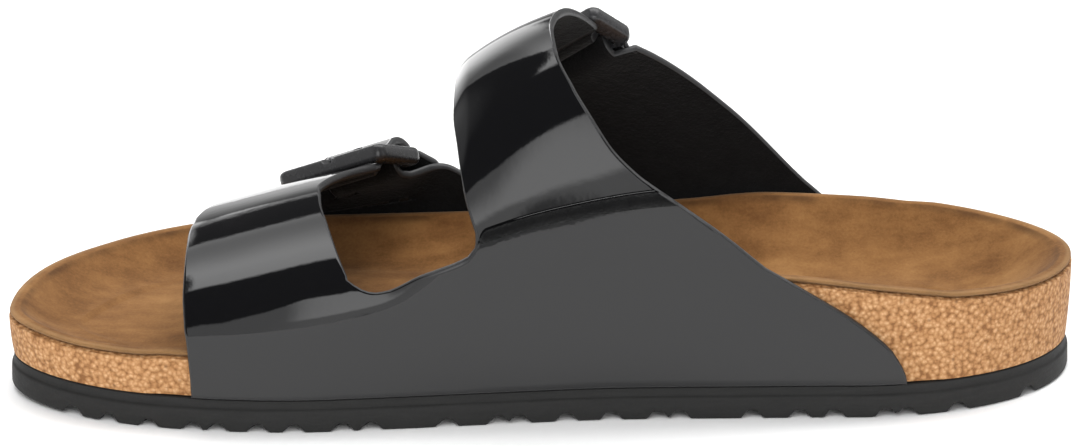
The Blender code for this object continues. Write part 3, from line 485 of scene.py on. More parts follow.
def make_piece(name, points, quads, materials, kinds=None, sharp=None, marks=None):
    """A mesh object from points in millimetres; a quad whose last two corners agree is a triangle."""
    triangles = quads[:, 2] == quads[:, 3]
    mesh = bpy.data.meshes.new(name)
    faces = quads[~triangles].tolist() + quads[triangles][:, :3].tolist()
    mesh.from_pydata(((points + (0.0, SIDE_SHIFT, 0.0)) * MM).tolist(), [], faces)
    for material in materials:
        mesh.materials.append(material)
    if kinds is not None:
        order = np.concatenate([kinds[~triangles], kinds[triangles]]).astype(np.int32)
        mesh.polygons.foreach_set("material_index", order)
    for mark, values in (marks or {}).items():
        layer = mesh.attributes.new(mark, "FLOAT", "POINT")
        layer.data.foreach_set("value", np.asarray(values, np.float32))
    mesh.update()
    mesh.shade_smooth()
    if sharp:
        mesh.set_sharp_from_angle(angle=sharp)
    piece = bpy.data.objects.new(name, mesh)
    bpy.context.scene.collection.objects.link(piece)
    return piece


def declare(piece, slot, *nodes):
    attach(piece, "root")
    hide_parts(*nodes)


def groove_height(along, across):
    """Depth of the tread at places of the sole: that of the deepest groove, a trough along a wave."""
    number = np.arange(len(GROOVES))
    across = across[..., None]
    drift = GROOVE_DRIFT * np.sin(GROOVE_DRIFT_TURN * number) * (across / HALF_LENGTH + GROOVE_DRIFT_BASE)
    wave = GROOVE_WAVE * np.sin(2 * math.pi * (across + GROOVE_WAVE_START) / GROOVE_WAVELENGTH)
    aside = np.abs(along[..., None] - np.array(GROOVES) - drift - wave)
    return GROOVE_DEEP * (1 - ease(GROOVE_FLOOR, GROOVE_OPEN, aside)).max(axis=-1)


def make_outsole(loop, material):
    """The sole: its side is the outline lifted and moved in by the profile.

    Its underside is made of rows across the sole, cut by the tread.
    """
    spring = toe_spring(loop.along)
    rings = []
    for level in OUTSOLE_SIDE:
        ring = loop.ring(level.inset, level.height + spring)
        fade = np.clip(1 - level.height / GROOVE_FADE, 0, 1)
        ring[:, 2] += fade * groove_height(ring[:, 0], ring[:, 1])
        rings.append(ring)
    bottom = loop.ladder(rings[0], TREAD_COLUMNS)
    bottom[..., 2] = toe_spring(bottom[..., 0]) + groove_height(bottom[..., 0], bottom[..., 1])
    top = loop.ladder(rings[-1], TREAD_COLUMNS)
    blocks = [np.concatenate(rings), bottom.reshape(-1, 3), top.reshape(-1, 3)]
    sizes = np.cumsum([0] + [len(block) for block in blocks])
    quads = np.concatenate([
        grid_quads(len(rings), loop.size, closed=True),
        grid_quads(loop.count, TREAD_COLUMNS + 1, start=sizes[1]),
        grid_quads(loop.count, TREAD_COLUMNS + 1, start=sizes[2])[:, ::-1],
    ])
    points, quads, _ = welded(np.concatenate(blocks), quads)
    piece = make_piece("outsole_tread", points, quads, [material], sharp=TREAD_SHARP)
    declare(piece, "outsole", "outsole")


def mounds(plan, depth):
    """Low swellings of the bed: toe bar, middle of the forefoot and arch. They fade out at the rim."""
    height = sum(
        mound.height
        * np.exp(-(((plan[:, 0] - mound.along) / mound.long) ** 2))
        * np.exp(-(((plan[:, 1] - mound.across) / mound.wide) ** 2))
        for mound in MOUNDS
    )
    return height * ease(0, MOUND_FADE, depth)


def bed_rings(loop):
    """Rings of the foot's bed from its outer edge over the rim, down the dished wall, to the floor.

    The wall's height falls from the rim to the floor as a power of the share left to the wall's foot.
    """
    tuck = loop.tuck()
    rim = loop.by_side(BED)
    floor = smooth(BED, "along", "floor", loop.along)
    wall = smooth(BED, "along", "wall", loop.along)
    edge = loop.ring(CORK_RIM_INSET + (TUCK_INSET - CORK_RIM_INSET) * tuck, rim)
    spine_along = loop.along * SPINE_SHRINK
    middle = (breadth(LATERAL, spine_along) - breadth(MEDIAL, spine_along)) / 2
    inward = np.column_stack([spine_along, middle]) - edge[:, :2]
    reach = np.linalg.norm(inward, axis=1)
    rings, depths = [], []

    def add(depth, height):
        plan = edge[:, :2] + inward * (depth / reach)[:, None]
        rings.append(np.column_stack([plan, height + mounds(plan, depth - RIM_END)]))
        depths.append(depth)

    for level in RIM_PROFILE:
        add(np.full_like(rim, level.inset), rim + level.height)
    top = rim + RIM_PROFILE[-1].height
    for share in shares(WALL_ROWS)[1:]:
        add(RIM_END + wall * share, floor + (top - floor) * (1 - share) ** WALL_POWER)
    for share in shares(FLOOR_ROWS)[1:] * FLOOR_END:
        depth = RIM_END + wall + (reach - RIM_END - wall) * share
        add(depth, smooth(BED, "along", "floor", edge[:, 0] + inward[:, 0] * depth / reach))
    return rings, np.concatenate(depths)


def closed_bed(loop, rings):
    """Points and quads of rings laid one inside another, the last one closed across."""
    cover = loop.ladder(rings[-1], 1)
    points = np.concatenate([*rings, cover.reshape(-1, 3)])
    start = len(rings) * loop.size
    quads = np.concatenate([
        grid_quads(len(rings), loop.size, closed=True),
        grid_quads(loop.count, 2, start=start)[:, ::-1],
    ])
    return points, quads


def make_suede(loop, rings, depths, material):
    """The footbed's cover: the bed's surface with a thin wall and a rounded cut edge."""
    points, quads = closed_bed(loop, rings)
    depths = np.concatenate([depths, np.full(len(points) - len(depths), depths.max())])
    points, quads, first = welded(points, quads)
    points, quads, _ = shell(points, quads, SUEDE_THICK, SUEDE_ROUND)
    inset = np.zeros(len(points))
    inset[: len(first)] = depths[first]
    piece = make_piece("suede_footbed", points, quads, [material], marks={"inset": inset})
    declare(piece, "suede", "insole_suede")


def make_cork(loop, rings, material):
    """The cork block: its side leans out to the rim, and its top lies just under the suede."""
    bed, quads = closed_bed(loop, rings)
    bed, quads, _ = welded(bed, quads)
    normals = vertex_normals(bed, quads)
    below = bed - normals * (SUEDE_THICK + GAP)
    _, index = np.unique(np.round(np.concatenate(rings), WELD_DIGITS), axis=0, return_inverse=True)
    tuck = loop.tuck()
    spring = toe_spring(loop.along)
    base = loop.ring(
        CORK_BOTTOM_INSET + (TUCK_INSET - CORK_BOTTOM_INSET) * tuck, OUTSOLE_THICK + GAP + spring
    )
    rim_edge = rings[0] - np.array([0.0, 0.0, SUEDE_THICK + GAP])
    side = []
    for share in shares(CORK_ROWS):
        ring = between(base, rim_edge, share)
        ring[:, :2] += loop.outward * (4 * share * (1 - share) * CORK_BULGE * (1 - tuck))[:, None]
        side.append(ring)
    under = below[index.reshape(-1)].reshape(len(rings), loop.size, 3)
    layers = side + list(under[CORK_RIM_SKIP:])
    points, quads = closed_bed(loop, layers)
    floor = loop.ladder(base, 1)
    quads = np.concatenate([quads, grid_quads(loop.count, 2, start=len(points))])
    points, quads, _ = welded(np.concatenate([points, floor.reshape(-1, 3)]), quads)
    piece = make_piece("cork_block", points, quads, [material], sharp=CORK_SHARP)
    declare(piece, "cork", "midsole_cork")


def last(along, wrap):
    """Points of the leather's outer face: an upright side, then a superellipse up to the crest."""
    along, wrap = np.broadcast_arrays(np.asarray(along, float), np.asarray(wrap, float))
    lateral = wrap >= 0.5
    side = np.where(lateral, LATERAL, MEDIAL)
    rise = 2 * np.minimum(wrap, 1 - wrap)
    half = np.where(lateral, breadth(LATERAL, along), breadth(MEDIAL, along)) + LEATHER_PROUD

    def read(name):
        return smooth(LAST, "along", name, along)

    wall = np.where(lateral, read("lateral_wall"), read("medial_wall"))
    power = np.where(lateral, read("lateral_power"), read("medial_power"))
    turn = np.clip((rise - SIDE_SHARE) / (1 - SIDE_SHARE), 0, 1) * math.pi / 2
    lean = read("lean")
    across = lean + (side * half - lean) * np.clip(np.cos(turn), 0, 1) ** (2 / power)
    height = wall + (read("crest") - wall) * np.sin(turn) ** (2 / power)
    upright = rise < SIDE_SHARE
    across = np.where(upright, side * half, across)
    height = np.where(upright, LEATHER_BASE + (wall - LEATHER_BASE) * rise / SIDE_SHARE, height)
    return np.stack([along, across, height], axis=-1)


def last_slopes(along, wrap):
    """The last's two tangents, for a millimetre along and for a unit of wrap."""
    small_along, small_wrap = 0.5, 0.004
    by_along = (last(along + small_along, wrap) - last(along - small_along, wrap)) / (2 * small_along)
    by_wrap = (last(along, wrap + small_wrap) - last(along, wrap - small_wrap)) / (2 * small_wrap)
    return by_along, by_wrap


def last_normal(along, wrap):
    return unit(np.cross(*last_slopes(along, wrap)))


class BuckleSeat:
    """Where a buckle lies: down runs from the near bar to the hinge bar, over runs along the bars."""

    def __init__(self, buckle):
        self.buckle = buckle
        self.near, self.hinge = last(*buckle.near), last(*buckle.hinge)
        self.run = np.subtract(buckle.hinge, buckle.near)
        self.down = unit(self.hinge - self.near)
        outward = last_normal(*buckle.near) + last_normal(*buckle.hinge)
        self.over = unit(np.cross(outward, self.down))
        self.over *= np.sign(self.over[0])
        self.out = facing(outward, np.cross(self.over, self.down))
        _, by_wrap = last_slopes(*buckle.hinge)
        self.tab_up = unit(self.over * np.dot(by_wrap, self.over) - by_wrap)
        self.tab_out = facing(outward, np.cross(self.tab_up, self.over))
        self.hinge_axis = self.hinge + self.tab_out * ROLL_RADIUS
        self.near_axis = self.near + self.out * (NEAR_BAR_LIFT + FRAME_THICK / 2 - FRAME_RAISE)
        self.frame_down = unit(self.hinge_axis - self.near_axis)
        self.frame_out = facing(outward, np.cross(self.over, self.frame_down))
        self.frame_reach = np.linalg.norm(self.hinge_axis - self.near_axis)

    def across(self, place):
        """The step in (along, wrap) that moves one millimetre along the bars on the last."""
        slopes = np.column_stack(last_slopes(*place))
        return np.linalg.lstsq(slopes, self.over, rcond=None)[0]

    def end(self, place, reach):
        """The place this many millimetres along a bar from its middle."""
        return place + reach * self.across(place)

    def row(self, middle, widths, reach=(STRAP_HALF, STRAP_HALF)):
        """A straight row of points along the bars; reach goes to the toe side, then to the heel side."""
        return middle + np.outer(widths * np.where(widths < 0, *reach), self.over)

    def placed(self, points):
        """The object's points for those of the frame's axes: along the bars, to the hinge, outwards."""
        axes = np.stack([self.over, np.cross(self.frame_out, self.over), self.frame_out])
        return self.near_axis + self.frame_out * FRAME_RAISE + points @ axes


class Sheet:
    """Rows of points that grow into one open surface."""

    def __init__(self):
        self.points, self.quads, self.count = [], [], 0

    def add(self, row):
        self.points.append(row)
        self.count += len(row)
        return np.arange(self.count - len(row), self.count)

    def join(self, before, after, skip=()):
        """Quads between two rows; after lies further round the last than before."""
        quads = np.column_stack([before[:-1], before[1:], after[1:], after[:-1]])
        self.quads.append(np.delete(quads, list(skip), axis=0))

    def whole(self):
        points, quads, _ = welded(np.concatenate(self.points), np.concatenate(self.quads))
        return points, quads


def bezier(start, bend, end, share):
    """Quadratic curve of places from start to end, drawn towards bend."""
    start, bend, end = (np.asarray(place, float) for place in (start, bend, end))
    return start * (1 - share) ** 2 + 2 * bend * share * (1 - share) + end * share**2


def edge(edges, name, wrap):
    return smooth(edges, "wrap", name, wrap)


def sole_part(sheet, edges, side, front_shares, rear_shares, skip):
    """The rows of a leather piece below its notch, from the sole up.

    Returns, for each strap, its points of the top row and the places of that row's two ends.
    """
    name, sole = ("medial", 0.0) if side == MEDIAL else ("lateral", 1.0)
    toe_shoulder, heel_shoulder = getattr(SHOULDER[0], name), getattr(SHOULDER[-1], name)
    rows = []
    for share in shares(SOLE_ROWS):
        toe_wrap = between(sole, toe_shoulder, share)
        heel_wrap = between(sole, heel_shoulder, share)
        front_heel = edge(edges, "front_heel", toe_wrap)
        rear_toe = edge(edges, "rear_toe", heel_wrap)
        along = np.concatenate([
            between(edge(edges, "front_toe", toe_wrap), front_heel, front_shares),
            between(front_heel, rear_toe, shares(NOTCH_COLUMNS))[1:-1],
            between(rear_toe, edge(edges, "rear_heel", heel_wrap), rear_shares),
        ])
        wrap = between(sole, smooth(SHOULDER, "along", name, along), share)
        rows.append(sheet.add(last(along, wrap)))
    for below, above in zip(rows, rows[1:]):
        sheet.join(*((below, above) if side == MEDIAL else (above, below)), skip=skip)
    parts = slice(0, len(front_shares)), slice(len(along) - len(rear_shares), len(along))
    places = np.column_stack([along, wrap])
    return [(rows[-1][part], places[part][[0, -1]]) for part in parts]


def strap_ends(edges, strap, wrap):
    """Places of a strap's toe edge and heel edge at this wrap."""
    return [Place(edge(edges, strap + side, wrap), wrap) for side in ("_toe", "_heel")]


def strap_rows(edges, strap, wraps, row_shares):
    """Rows at these wraps from a strap's toe edge to its heel edge."""
    ends = [strap_ends(edges, strap, wrap) for wrap in wraps]
    return [last(between(toe.along, heel.along, row_shares), toe.wrap) for toe, heel in ends]


def taper_rows(seat, middle, starts, bends, straight, start_shares):
    """Rows that turn and narrow from a row on the last to a straight row along a bar."""
    reach = (straight - last(*middle)) @ seat.over
    ends = seat.end(middle, reach[0]), seat.end(middle, reach[-1])
    end_shares = (reach - reach[0]) / (reach[-1] - reach[0])
    to_straight = straight - last(*between(ends[0], ends[1], end_shares[:, None]).T)
    rows = []
    for share in shares(TAPER_ROWS)[1:]:
        toe, heel = (bezier(*edge_line, share) for edge_line in zip(starts, bends, ends))
        places = between(toe, heel, between(start_shares, end_shares, share)[:, None])
        rows.append(last(*places.T) + to_straight * ease(TAPER_STRAIGHTEN, 1.0, share))
    return rows


def strap_over_buckle(seat, widths):
    """Rows of the strap under the near bar, up over the rolled tab and down to its rounded tip."""
    rise = np.dot(seat.hinge_axis - seat.near, seat.out)
    reach = np.dot(seat.hinge_axis - seat.near, seat.down)
    run = reach - STRAP_LEAD
    slope = math.atan2(rise, run) + math.asin(STRAP_OVER_ROLL / math.hypot(rise, run))
    rows = [seat.row(seat.near + seat.down * STRAP_LEAD, widths)]
    for share in shares(ARC_STEPS):
        turn = between(-slope, STRAP_ARC_END, share)
        spoke = seat.down * math.sin(turn) + seat.out * math.cos(turn)
        rows.append(seat.row(seat.hinge_axis + spoke * STRAP_OVER_ROLL, widths))
    for tip in STRAP_TIP:
        middle = seat.buckle.hinge + seat.run * tip.reach
        places = middle + np.outer(widths * STRAP_HALF * tip.width, seat.across(middle))
        rows.append(last(*places.T) + last_normal(*places.T) * tip.lift)
    return rows


def splined(rows, steps):
    """More rows on the cubic curves that run through the given rows, point by point (Catmull-Rom)."""
    rows = np.asarray(rows)
    ends = np.concatenate([2 * rows[:1] - rows[1:2], rows, 2 * rows[-1:] - rows[-2:-1]])
    p0, p1, p2, p3 = ends[:-3, None], ends[1:-2, None], ends[2:-1, None], ends[3:, None]
    t = (np.arange(steps) / steps)[None, :, None, None]
    fine = 0.5 * (
        2 * p1
        + (p2 - p0) * t
        + (2 * p0 - 5 * p1 + 4 * p2 - p3) * t**2
        + (3 * p1 - p0 - 3 * p2 + p3) * t**3
    )
    return np.concatenate([fine.reshape(-1, *rows.shape[1:]), rows[-1:]])


def doubled(columns):
    """Shares across a strap, with its middle twice so that a hole can open there."""
    half = shares(columns // 2) / 2
    return np.concatenate([half, half + 0.5])


def opened(rows, seat):
    """Draws a strap's two halves apart at the prong's slot and round its spare hole."""
    middle = rows[:, rows.shape[1] // 2]
    across = unit(rows[:, -1] - rows[:, 0])
    down = (middle - seat.near_axis) @ seat.frame_down
    half_long, half_wide = PRONG_SLOT_HALF
    from_slot = (down - PRONG_SLOT_SHARE * seat.frame_reach) / half_long
    slot = half_wide * np.sqrt(np.clip(1 - from_slot**2, 0, None))
    top = np.argmax(middle @ seat.frame_out)
    slot[np.arange(len(slot)) > top + 2 * SPLINE_STEPS] = 0
    hole_at = last(*(seat.buckle.hinge + seat.run * STRAP_HOLE_REACH))
    hole_lift = last_normal(*seat.buckle.hinge) * STRAP_HOLE_LIFT
    from_hole = np.linalg.norm(middle - hole_at - hole_lift, axis=1)
    hole = np.sqrt(np.clip(STRAP_HOLE_RADIUS**2 - from_hole**2, 0, None))
    columns = rows.shape[1]
    aside = np.linspace(-1, 1, columns)
    side = np.where(np.arange(columns) < columns // 2, -1.0, 1.0)
    share = side * (1 - np.abs(aside)) ** 2
    return rows + (slot + hole)[:, None, None] * share[None, :, None] * across[:, None, :]


def make_leather_medial(seats, materials):
    """The long leather piece: medial side, both straps over the foot, and their ends in the buckles."""
    sheet = Sheet()
    row_shares = {strap: doubled(grid.columns) for strap, grid in STRAP_GRIDS.items()}
    slits = {strap: grid.columns // 2 for strap, grid in STRAP_GRIDS.items()}
    skip = slits["front"], STRAP_GRIDS["front"].columns + 1 + NOTCH_COLUMNS + slits["rear"]
    tops = sole_part(sheet, MEDIAL_EDGES, MEDIAL, row_shares["front"], row_shares["rear"], skip)
    for (strap, seat), (top, ends) in zip(seats.items(), tops):
        buckle, across, grid = seat.buckle, row_shares[strap], STRAP_GRIDS[strap]
        widths = 2 * across - 1
        straight = seat.row(seat.near, widths, buckle.strap_reach)
        wraps = between(ends[0][1], grid.end_wrap, shares(grid.rows)[1:])
        rows = strap_rows(MEDIAL_EDGES, strap, wraps, across)
        starts = strap_ends(MEDIAL_EDGES, strap, grid.end_wrap)
        bends = buckle.strap_toe_bend, buckle.strap_heel_bend
        rows += taper_rows(seat, buckle.near, starts, bends, straight, across)
        tail = splined([rows[-1], *strap_over_buckle(seat, widths)], SPLINE_STEPS)[1:]
        rows += list(opened(tail, seat))
        before = top
        for row in rows:
            after = sheet.add(row)
            sheet.join(before, after, skip=(slits[strap],))
            before = after
    points, quads, kinds = shell(*sheet.whole(), LEATHER_THICK, LEATHER_ROUND)
    piece = make_piece("leather_medial", points, quads, materials, kinds)
    declare(piece, "leather", "upper_medial")


def make_leather_lateral(seats, materials):
    """The short leather piece: lateral side and two tabs rolled round the hinge bars."""
    sheet = Sheet()
    knots = len(TAB_WIDTHS)
    columns = (knots - 1) * TAB_SPLIT
    widths = np.interp(np.arange(columns + 1) / TAB_SPLIT, np.arange(knots), TAB_WIDTHS)
    row_shares = shares(columns)
    slot = range((knots // 2 - 1) * TAB_SPLIT, knots // 2 * TAB_SPLIT)
    tops = sole_part(sheet, LATERAL_EDGES, LATERAL, row_shares, row_shares, ())
    for (strap, seat), (top, starts) in zip(seats.items(), tops):
        buckle, grid = seat.buckle, STRAP_GRIDS[strap]
        rows = []
        if grid.tab_rows:
            wraps = between(starts[0][1], grid.tab_wrap, shares(grid.tab_rows)[1:])
            rows = strap_rows(LATERAL_EDGES, strap, wraps, row_shares)
            starts = strap_ends(LATERAL_EDGES, strap, grid.tab_wrap)
        bends = buckle.tab_toe_bend, buckle.tab_heel_bend
        straight = seat.row(seat.hinge - seat.tab_up * TAB_LEAD, widths, buckle.tab_reach)
        rows += taper_rows(seat, buckle.hinge, starts, bends, straight, row_shares)
        rows.append(seat.row(seat.hinge, widths))
        before = top
        for row in rows:
            after = sheet.add(row)
            sheet.join(after, before)
            before = after
        for share in shares(ROLL_ROWS)[1:]:
            turn = ROLL_TURN * share
            spoke = seat.tab_up * math.sin(turn) - seat.tab_out * math.cos(turn)
            after = sheet.add(seat.row(seat.hinge_axis + spoke * ROLL_RADIUS, widths))
            sheet.join(after, before, skip=slot if turn > PRONG_SLOT_TURN else ())
            before = after
    points, quads, kinds = shell(*sheet.whole(), LEATHER_THICK, LEATHER_ROUND)
    piece = make_piece("leather_lateral", points, quads, materials, kinds)
    declare(piece, "leather", "upper_lateral")


def rounded_rectangle(low, high, radius):
    """A closed counter-clockwise loop: four quarter arcs joined by even straight steps."""
    corners = ((high[0], high[1], 0), (low[0], high[1], 1), (low[0], low[1], 2), (high[0], low[1], 3))
    centre = (low[0] + high[0]) / 2, (low[1] + high[1]) / 2
    arcs = []
    for x, y, quarter in corners:
        middle = x - math.copysign(radius, x - centre[0]), y - math.copysign(radius, y - centre[1])
        angle = (quarter + shares(FRAME_CORNERS)) * math.pi / 2
        arcs.append(middle + radius * np.column_stack([np.cos(angle), np.sin(angle)]))
    loop = []
    for arc, following in zip(arcs, arcs[1:] + arcs[:1]):
        side = between(arc[-1], following[0], shares(FRAME_SIDES)[1:-1, None])
        loop += [arc, side]
    return np.concatenate(loop)


def make_frame(name, seat, material, node):
    """A buckle frame: a superellipse section carried round the window.

    The section's width spans the window's loop and the outer loop, its thickness thins to a round bar
    at the hinge, and the near bar has a notch for the prong.
    """
    reach = seat.frame_reach
    outer = rounded_rectangle(
        (-FRAME_HALF_WIDTH, -NEAR_BAR_HALF), (FRAME_HALF_WIDTH, reach + HINGE_BAR_HALF), FRAME_CORNER
    )
    window = rounded_rectangle(
        (-FRAME_OPENING_HALF, NEAR_BAR_HALF), (FRAME_OPENING_HALF, reach - HINGE_BAR_HALF), OPENING_CORNER
    )
    middle, half = (outer + window) / 2, (outer - window) / 2
    at_hinge = ease(reach - 2 * NEAR_BAR_HALF, reach - HINGE_BAR_HALF, middle[:, 1])
    inside = 1 - ease(FRAME_OPENING_HALF - HINGE_BLEND, FRAME_OPENING_HALF, np.abs(middle[:, 0]))
    thick = between(FRAME_THICK / 2, HINGE_BAR_HALF, at_hinge * inside)
    power = between(SECTION_POWER, ROUND_POWER, at_hinge * inside)
    angle = 2 * math.pi * np.arange(SECTION_SIDES) / SECTION_SIDES
    wide = np.sign(np.cos(angle)) * np.abs(np.cos(angle)) ** (2 / power[:, None])
    tall = np.sign(np.sin(angle)) * np.abs(np.sin(angle)) ** (2 / power[:, None])
    plan = middle[:, None] + half[:, None] * wide[..., None]
    height = thick[:, None] * tall - (FRAME_RAISE * at_hinge * inside)[:, None]
    open_notch = 1 - ease(PRONG_NOTCH_FLAT, PRONG_NOTCH_OPEN, np.abs(plan[..., 0]))
    open_notch *= (plan[..., 1] < reach / 2) & (height > 0)
    notch_floor = HINGE_BAR_HALF - FRAME_RAISE
    height = np.where(height > notch_floor, between(height, notch_floor, open_notch), height)
    points = seat.placed(np.concatenate([plan, height[..., None]], axis=-1).reshape(-1, 3))
    loops = len(outer)
    index = grid_quads(loops + 1, SECTION_SIDES, closed=True) % (loops * SECTION_SIDES)
    piece = make_piece(name, points, index[:, ::-1], [material], sharp=FRAME_SHARP)
    declare(piece, "buckle", node)


def make_prong(name, seat, material, node):
    """A round pin from above the hinge bar to its rest on the near bar, with domed ends."""
    start, end = -PRONG_OVERHANG, seat.frame_reach
    cap = PRONG_RADIUS * (1 - np.sin(np.linspace(0, math.pi / 2, PRONG_CAP_POINTS)))
    run = np.sort(np.concatenate([start + cap, np.linspace(start, end, PRONG_POINTS)[1:-1], end - cap]))
    nearest = np.minimum(run - start, end - run)
    radius = np.sqrt(np.clip(PRONG_RADIUS**2 - np.clip(PRONG_RADIUS - nearest, 0, None) ** 2, 0, None))
    angle = 2 * math.pi * np.arange(SECTION_SIDES) / SECTION_SIDES
    points = np.stack([
        radius[:, None] * np.cos(angle),
        np.broadcast_to(run[:, None], (len(run), SECTION_SIDES)),
        PRONG_LIFT - FRAME_RAISE + radius[:, None] * np.sin(angle),
    ], axis=-1)
    quads = grid_quads(len(run), SECTION_SIDES, closed=True)[:, ::-1]
    points, quads, _ = welded(seat.placed(points.reshape(-1, 3)), quads)
    piece = make_piece(name, points, quads, [material])
    declare(piece, "prong", node)


class Signal:
    """A socket of a node tree. Arithmetic on signals and numbers adds Math nodes."""

    def __init__(self, tree, socket=None):
        self.tree, self.socket = tree, socket

    def node(self, kind, settings=None, inputs=None, output=0):
        """Adds a node: its settings first, then the values or links of its sockets. Gives one output."""
        node = self.tree.nodes.new(kind)
        for name, value in (settings or {}).items():
            if name == "stops":
                set_stops(node.color_ramp, value)
            else:
                setattr(node, name, value)
        for name, value in (inputs or {}).items():
            if isinstance(value, Signal):
                self.tree.links.new(value.socket, node.inputs[name])
            else:
                node.inputs[name].default_value = value
        return Signal(self.tree, node.outputs[output] if node.outputs else None)

    def math(self, operation, first, second):
        return self.node("ShaderNodeMath", {"operation": operation}, {0: first, 1: second})

    def __add__(self, other):
        return self.math("ADD", self, other)

    __radd__ = __add__

    def __sub__(self, other):
        return self.math("SUBTRACT", self, other)

    def __rsub__(self, other):
        return self.math("SUBTRACT", other, self)

    def __mul__(self, other):
        return self.math("MULTIPLY", self, other)

    __rmul__ = __mul__

    def step(self, start, end):
        """0 below start, 1 above end, a smooth step between."""
        limits = {"From Min": start, "From Max": end, "Value": self}
        return self.node("ShaderNodeMapRange", {"interpolation_type": "SMOOTHSTEP"}, limits)

    def largest(self, other):
        return self.math("MAXIMUM", self, other)

    def towards(self, other, share):
        return self + (other - self) * share


def set_stops(ramp, stops):
    while len(ramp.elements) < len(stops):
        ramp.elements.new(1.0)
    for element, (position, colour) in zip(ramp.elements, stops):
        element.position = position
        element.color = (*colour, 1.0)


def new_material(name):
    """An empty node material; returns it and a signal to start from."""
    material = bpy.data.materials.new(name)
    material.use_nodes = True
    material.node_tree.nodes.clear()
    return material, Signal(material.node_tree)


def finish_material(material, start, inputs):
    shader = start.node("ShaderNodeBsdfPrincipled", None, inputs)
    start.node("ShaderNodeOutputMaterial", None, {"Surface": shader})
    return material


def object_place(start):
    return start.node("ShaderNodeTexCoord", None, None, "Object")


def stretched(place, size):
    return place.node("ShaderNodeMapping", None, {"Vector": place, "Scale": size})


def noise(place, scale, detail=2.0, roughness=0.5, output=0):
    inputs = {"Vector": place, "Scale": scale, "Detail": detail, "Roughness": roughness}
    return place.node("ShaderNodeTexNoise", None, inputs, output)


def cells(place, scale):
    """Distance to the middle of the nearest of many scattered cells."""
    return place.node("ShaderNodeTexVoronoi", None, {"Vector": place, "Scale": scale}, "Distance")


def ramp(value, stops):
    return value.node("ShaderNodeValToRGB", {"stops": stops}, {"Fac": value})


def blended(share, first, second):
    """Mixes two colours; the Mix node keeps its colour sockets after those for numbers and vectors."""
    inputs = {0: share, 6: first, 7: second}
    return share.node("ShaderNodeMix", {"data_type": "RGBA"}, inputs, 2)


def bump(height, distance, strength=1.0, normal=None):
    inputs = {"Height": height, "Distance": distance, "Strength": strength}
    if normal:
        inputs["Normal"] = normal
    return height.node("ShaderNodeBump", None, inputs)


def patent_leather():
    """Black mirror gloss over a faint swell of the hide; a bump shades the front strap's toe edge as if
    it curled up.
    """
    material, start = new_material("patent_leather")
    place = object_place(start)
    along = place.node("ShaderNodeSeparateXYZ", None, {"Vector": place}, "X")
    past = (TOE_CURL_FROM - along).largest(0.0)
    curl = bump(TOE_CURL * past * past, 1.0)
    swell = bump(noise(place, 34.0, detail=1.0), 0.0004, normal=curl)
    pebble = bump(noise(place, 420.0), 0.000012, normal=swell)
    dust = noise(place, 900.0, detail=3.0).step(0.62, 0.8)
    return finish_material(material, start, {
        "Base Color": blended(dust, (0.0035, 0.0035, 0.004, 1), (0.007, 0.007, 0.0075, 1)),
        "Roughness": 0.035 + 0.03 * noise(place, 60.0),
        "IOR": 1.5,
        "Normal": pebble,
    })


def fleece_lining():
    """Black fleece: short dull nap."""
    material, start = new_material("fleece_lining")
    place = object_place(start)
    nap = noise(place, 1100.0, detail=4.0, roughness=0.7)
    tuft = noise(place, 260.0, detail=3.0)
    return finish_material(material, start, {
        "Base Color": blended(nap * tuft, (0.002, 0.002, 0.0021, 1), (0.010, 0.010, 0.0105, 1)),
        "Roughness": 0.95,
        "Specular IOR Level": 0.15,
        "Sheen Weight": 0.08,
        "Normal": bump(nap + tuft, 0.0006, strength=0.8),
    })


def cut_edge():
    """The leather's painted cut edge, a little duller and greyer than its face."""
    material, start = new_material("cut_edge")
    place = object_place(start)
    fibre = noise(place, 1500.0, detail=3.0)
    return finish_material(material, start, {
        "Base Color": blended(fibre, (0.012, 0.012, 0.013, 1), (0.03, 0.03, 0.031, 1)),
        "Roughness": 0.32 + 0.2 * fibre,
        "Normal": bump(fibre, 0.00008),
    })


def suede():
    """Brown suede: mottled colour, short nap, a darker line inside the rim and a paler rim."""
    material, start = new_material("footbed_suede")
    place = object_place(start)
    inset = start.node("ShaderNodeAttribute", {"attribute_name": "inset"}, None, "Fac")
    cloud = noise(place, 28.0, detail=3.0, roughness=0.55)
    streak = noise(stretched(place, (0.35, 1.0, 1.0)), 160.0, detail=3.0, roughness=0.6)
    nap = noise(place, 1500.0, detail=3.0, roughness=0.6)
    blotch = noise(place, 85.0, detail=4.0, roughness=0.65)
    tone = 0.3 * cloud + 0.25 * streak + 0.3 * blotch + 0.15 * nap
    colour = ramp(tone, (
        (0.34, (0.074, 0.030, 0.009)), (0.46, (0.150, 0.068, 0.022)),
        (0.54, (0.205, 0.098, 0.033)), (0.68, (0.290, 0.152, 0.056)),
    ))
    crease = inset.step(2.6, 3.4) * (1 - inset.step(3.5, 5.2))
    spotted = crease * noise(place, 90.0, detail=3.0).step(0.3, 0.7)
    colour = blended(0.7 * spotted, colour, (0.045, 0.020, 0.008, 1))
    colour = blended(0.3 * (1 - inset.step(0.9, 2.0)), colour, (0.34, 0.215, 0.105, 1))
    return finish_material(material, start, {
        "Base Color": colour,
        "Roughness": 0.93,
        "Specular IOR Level": 0.2,
        "Sheen Weight": 0.05,
        "Normal": bump(0.6 * nap + 0.4 * streak, 0.00025, strength=0.7),
    })


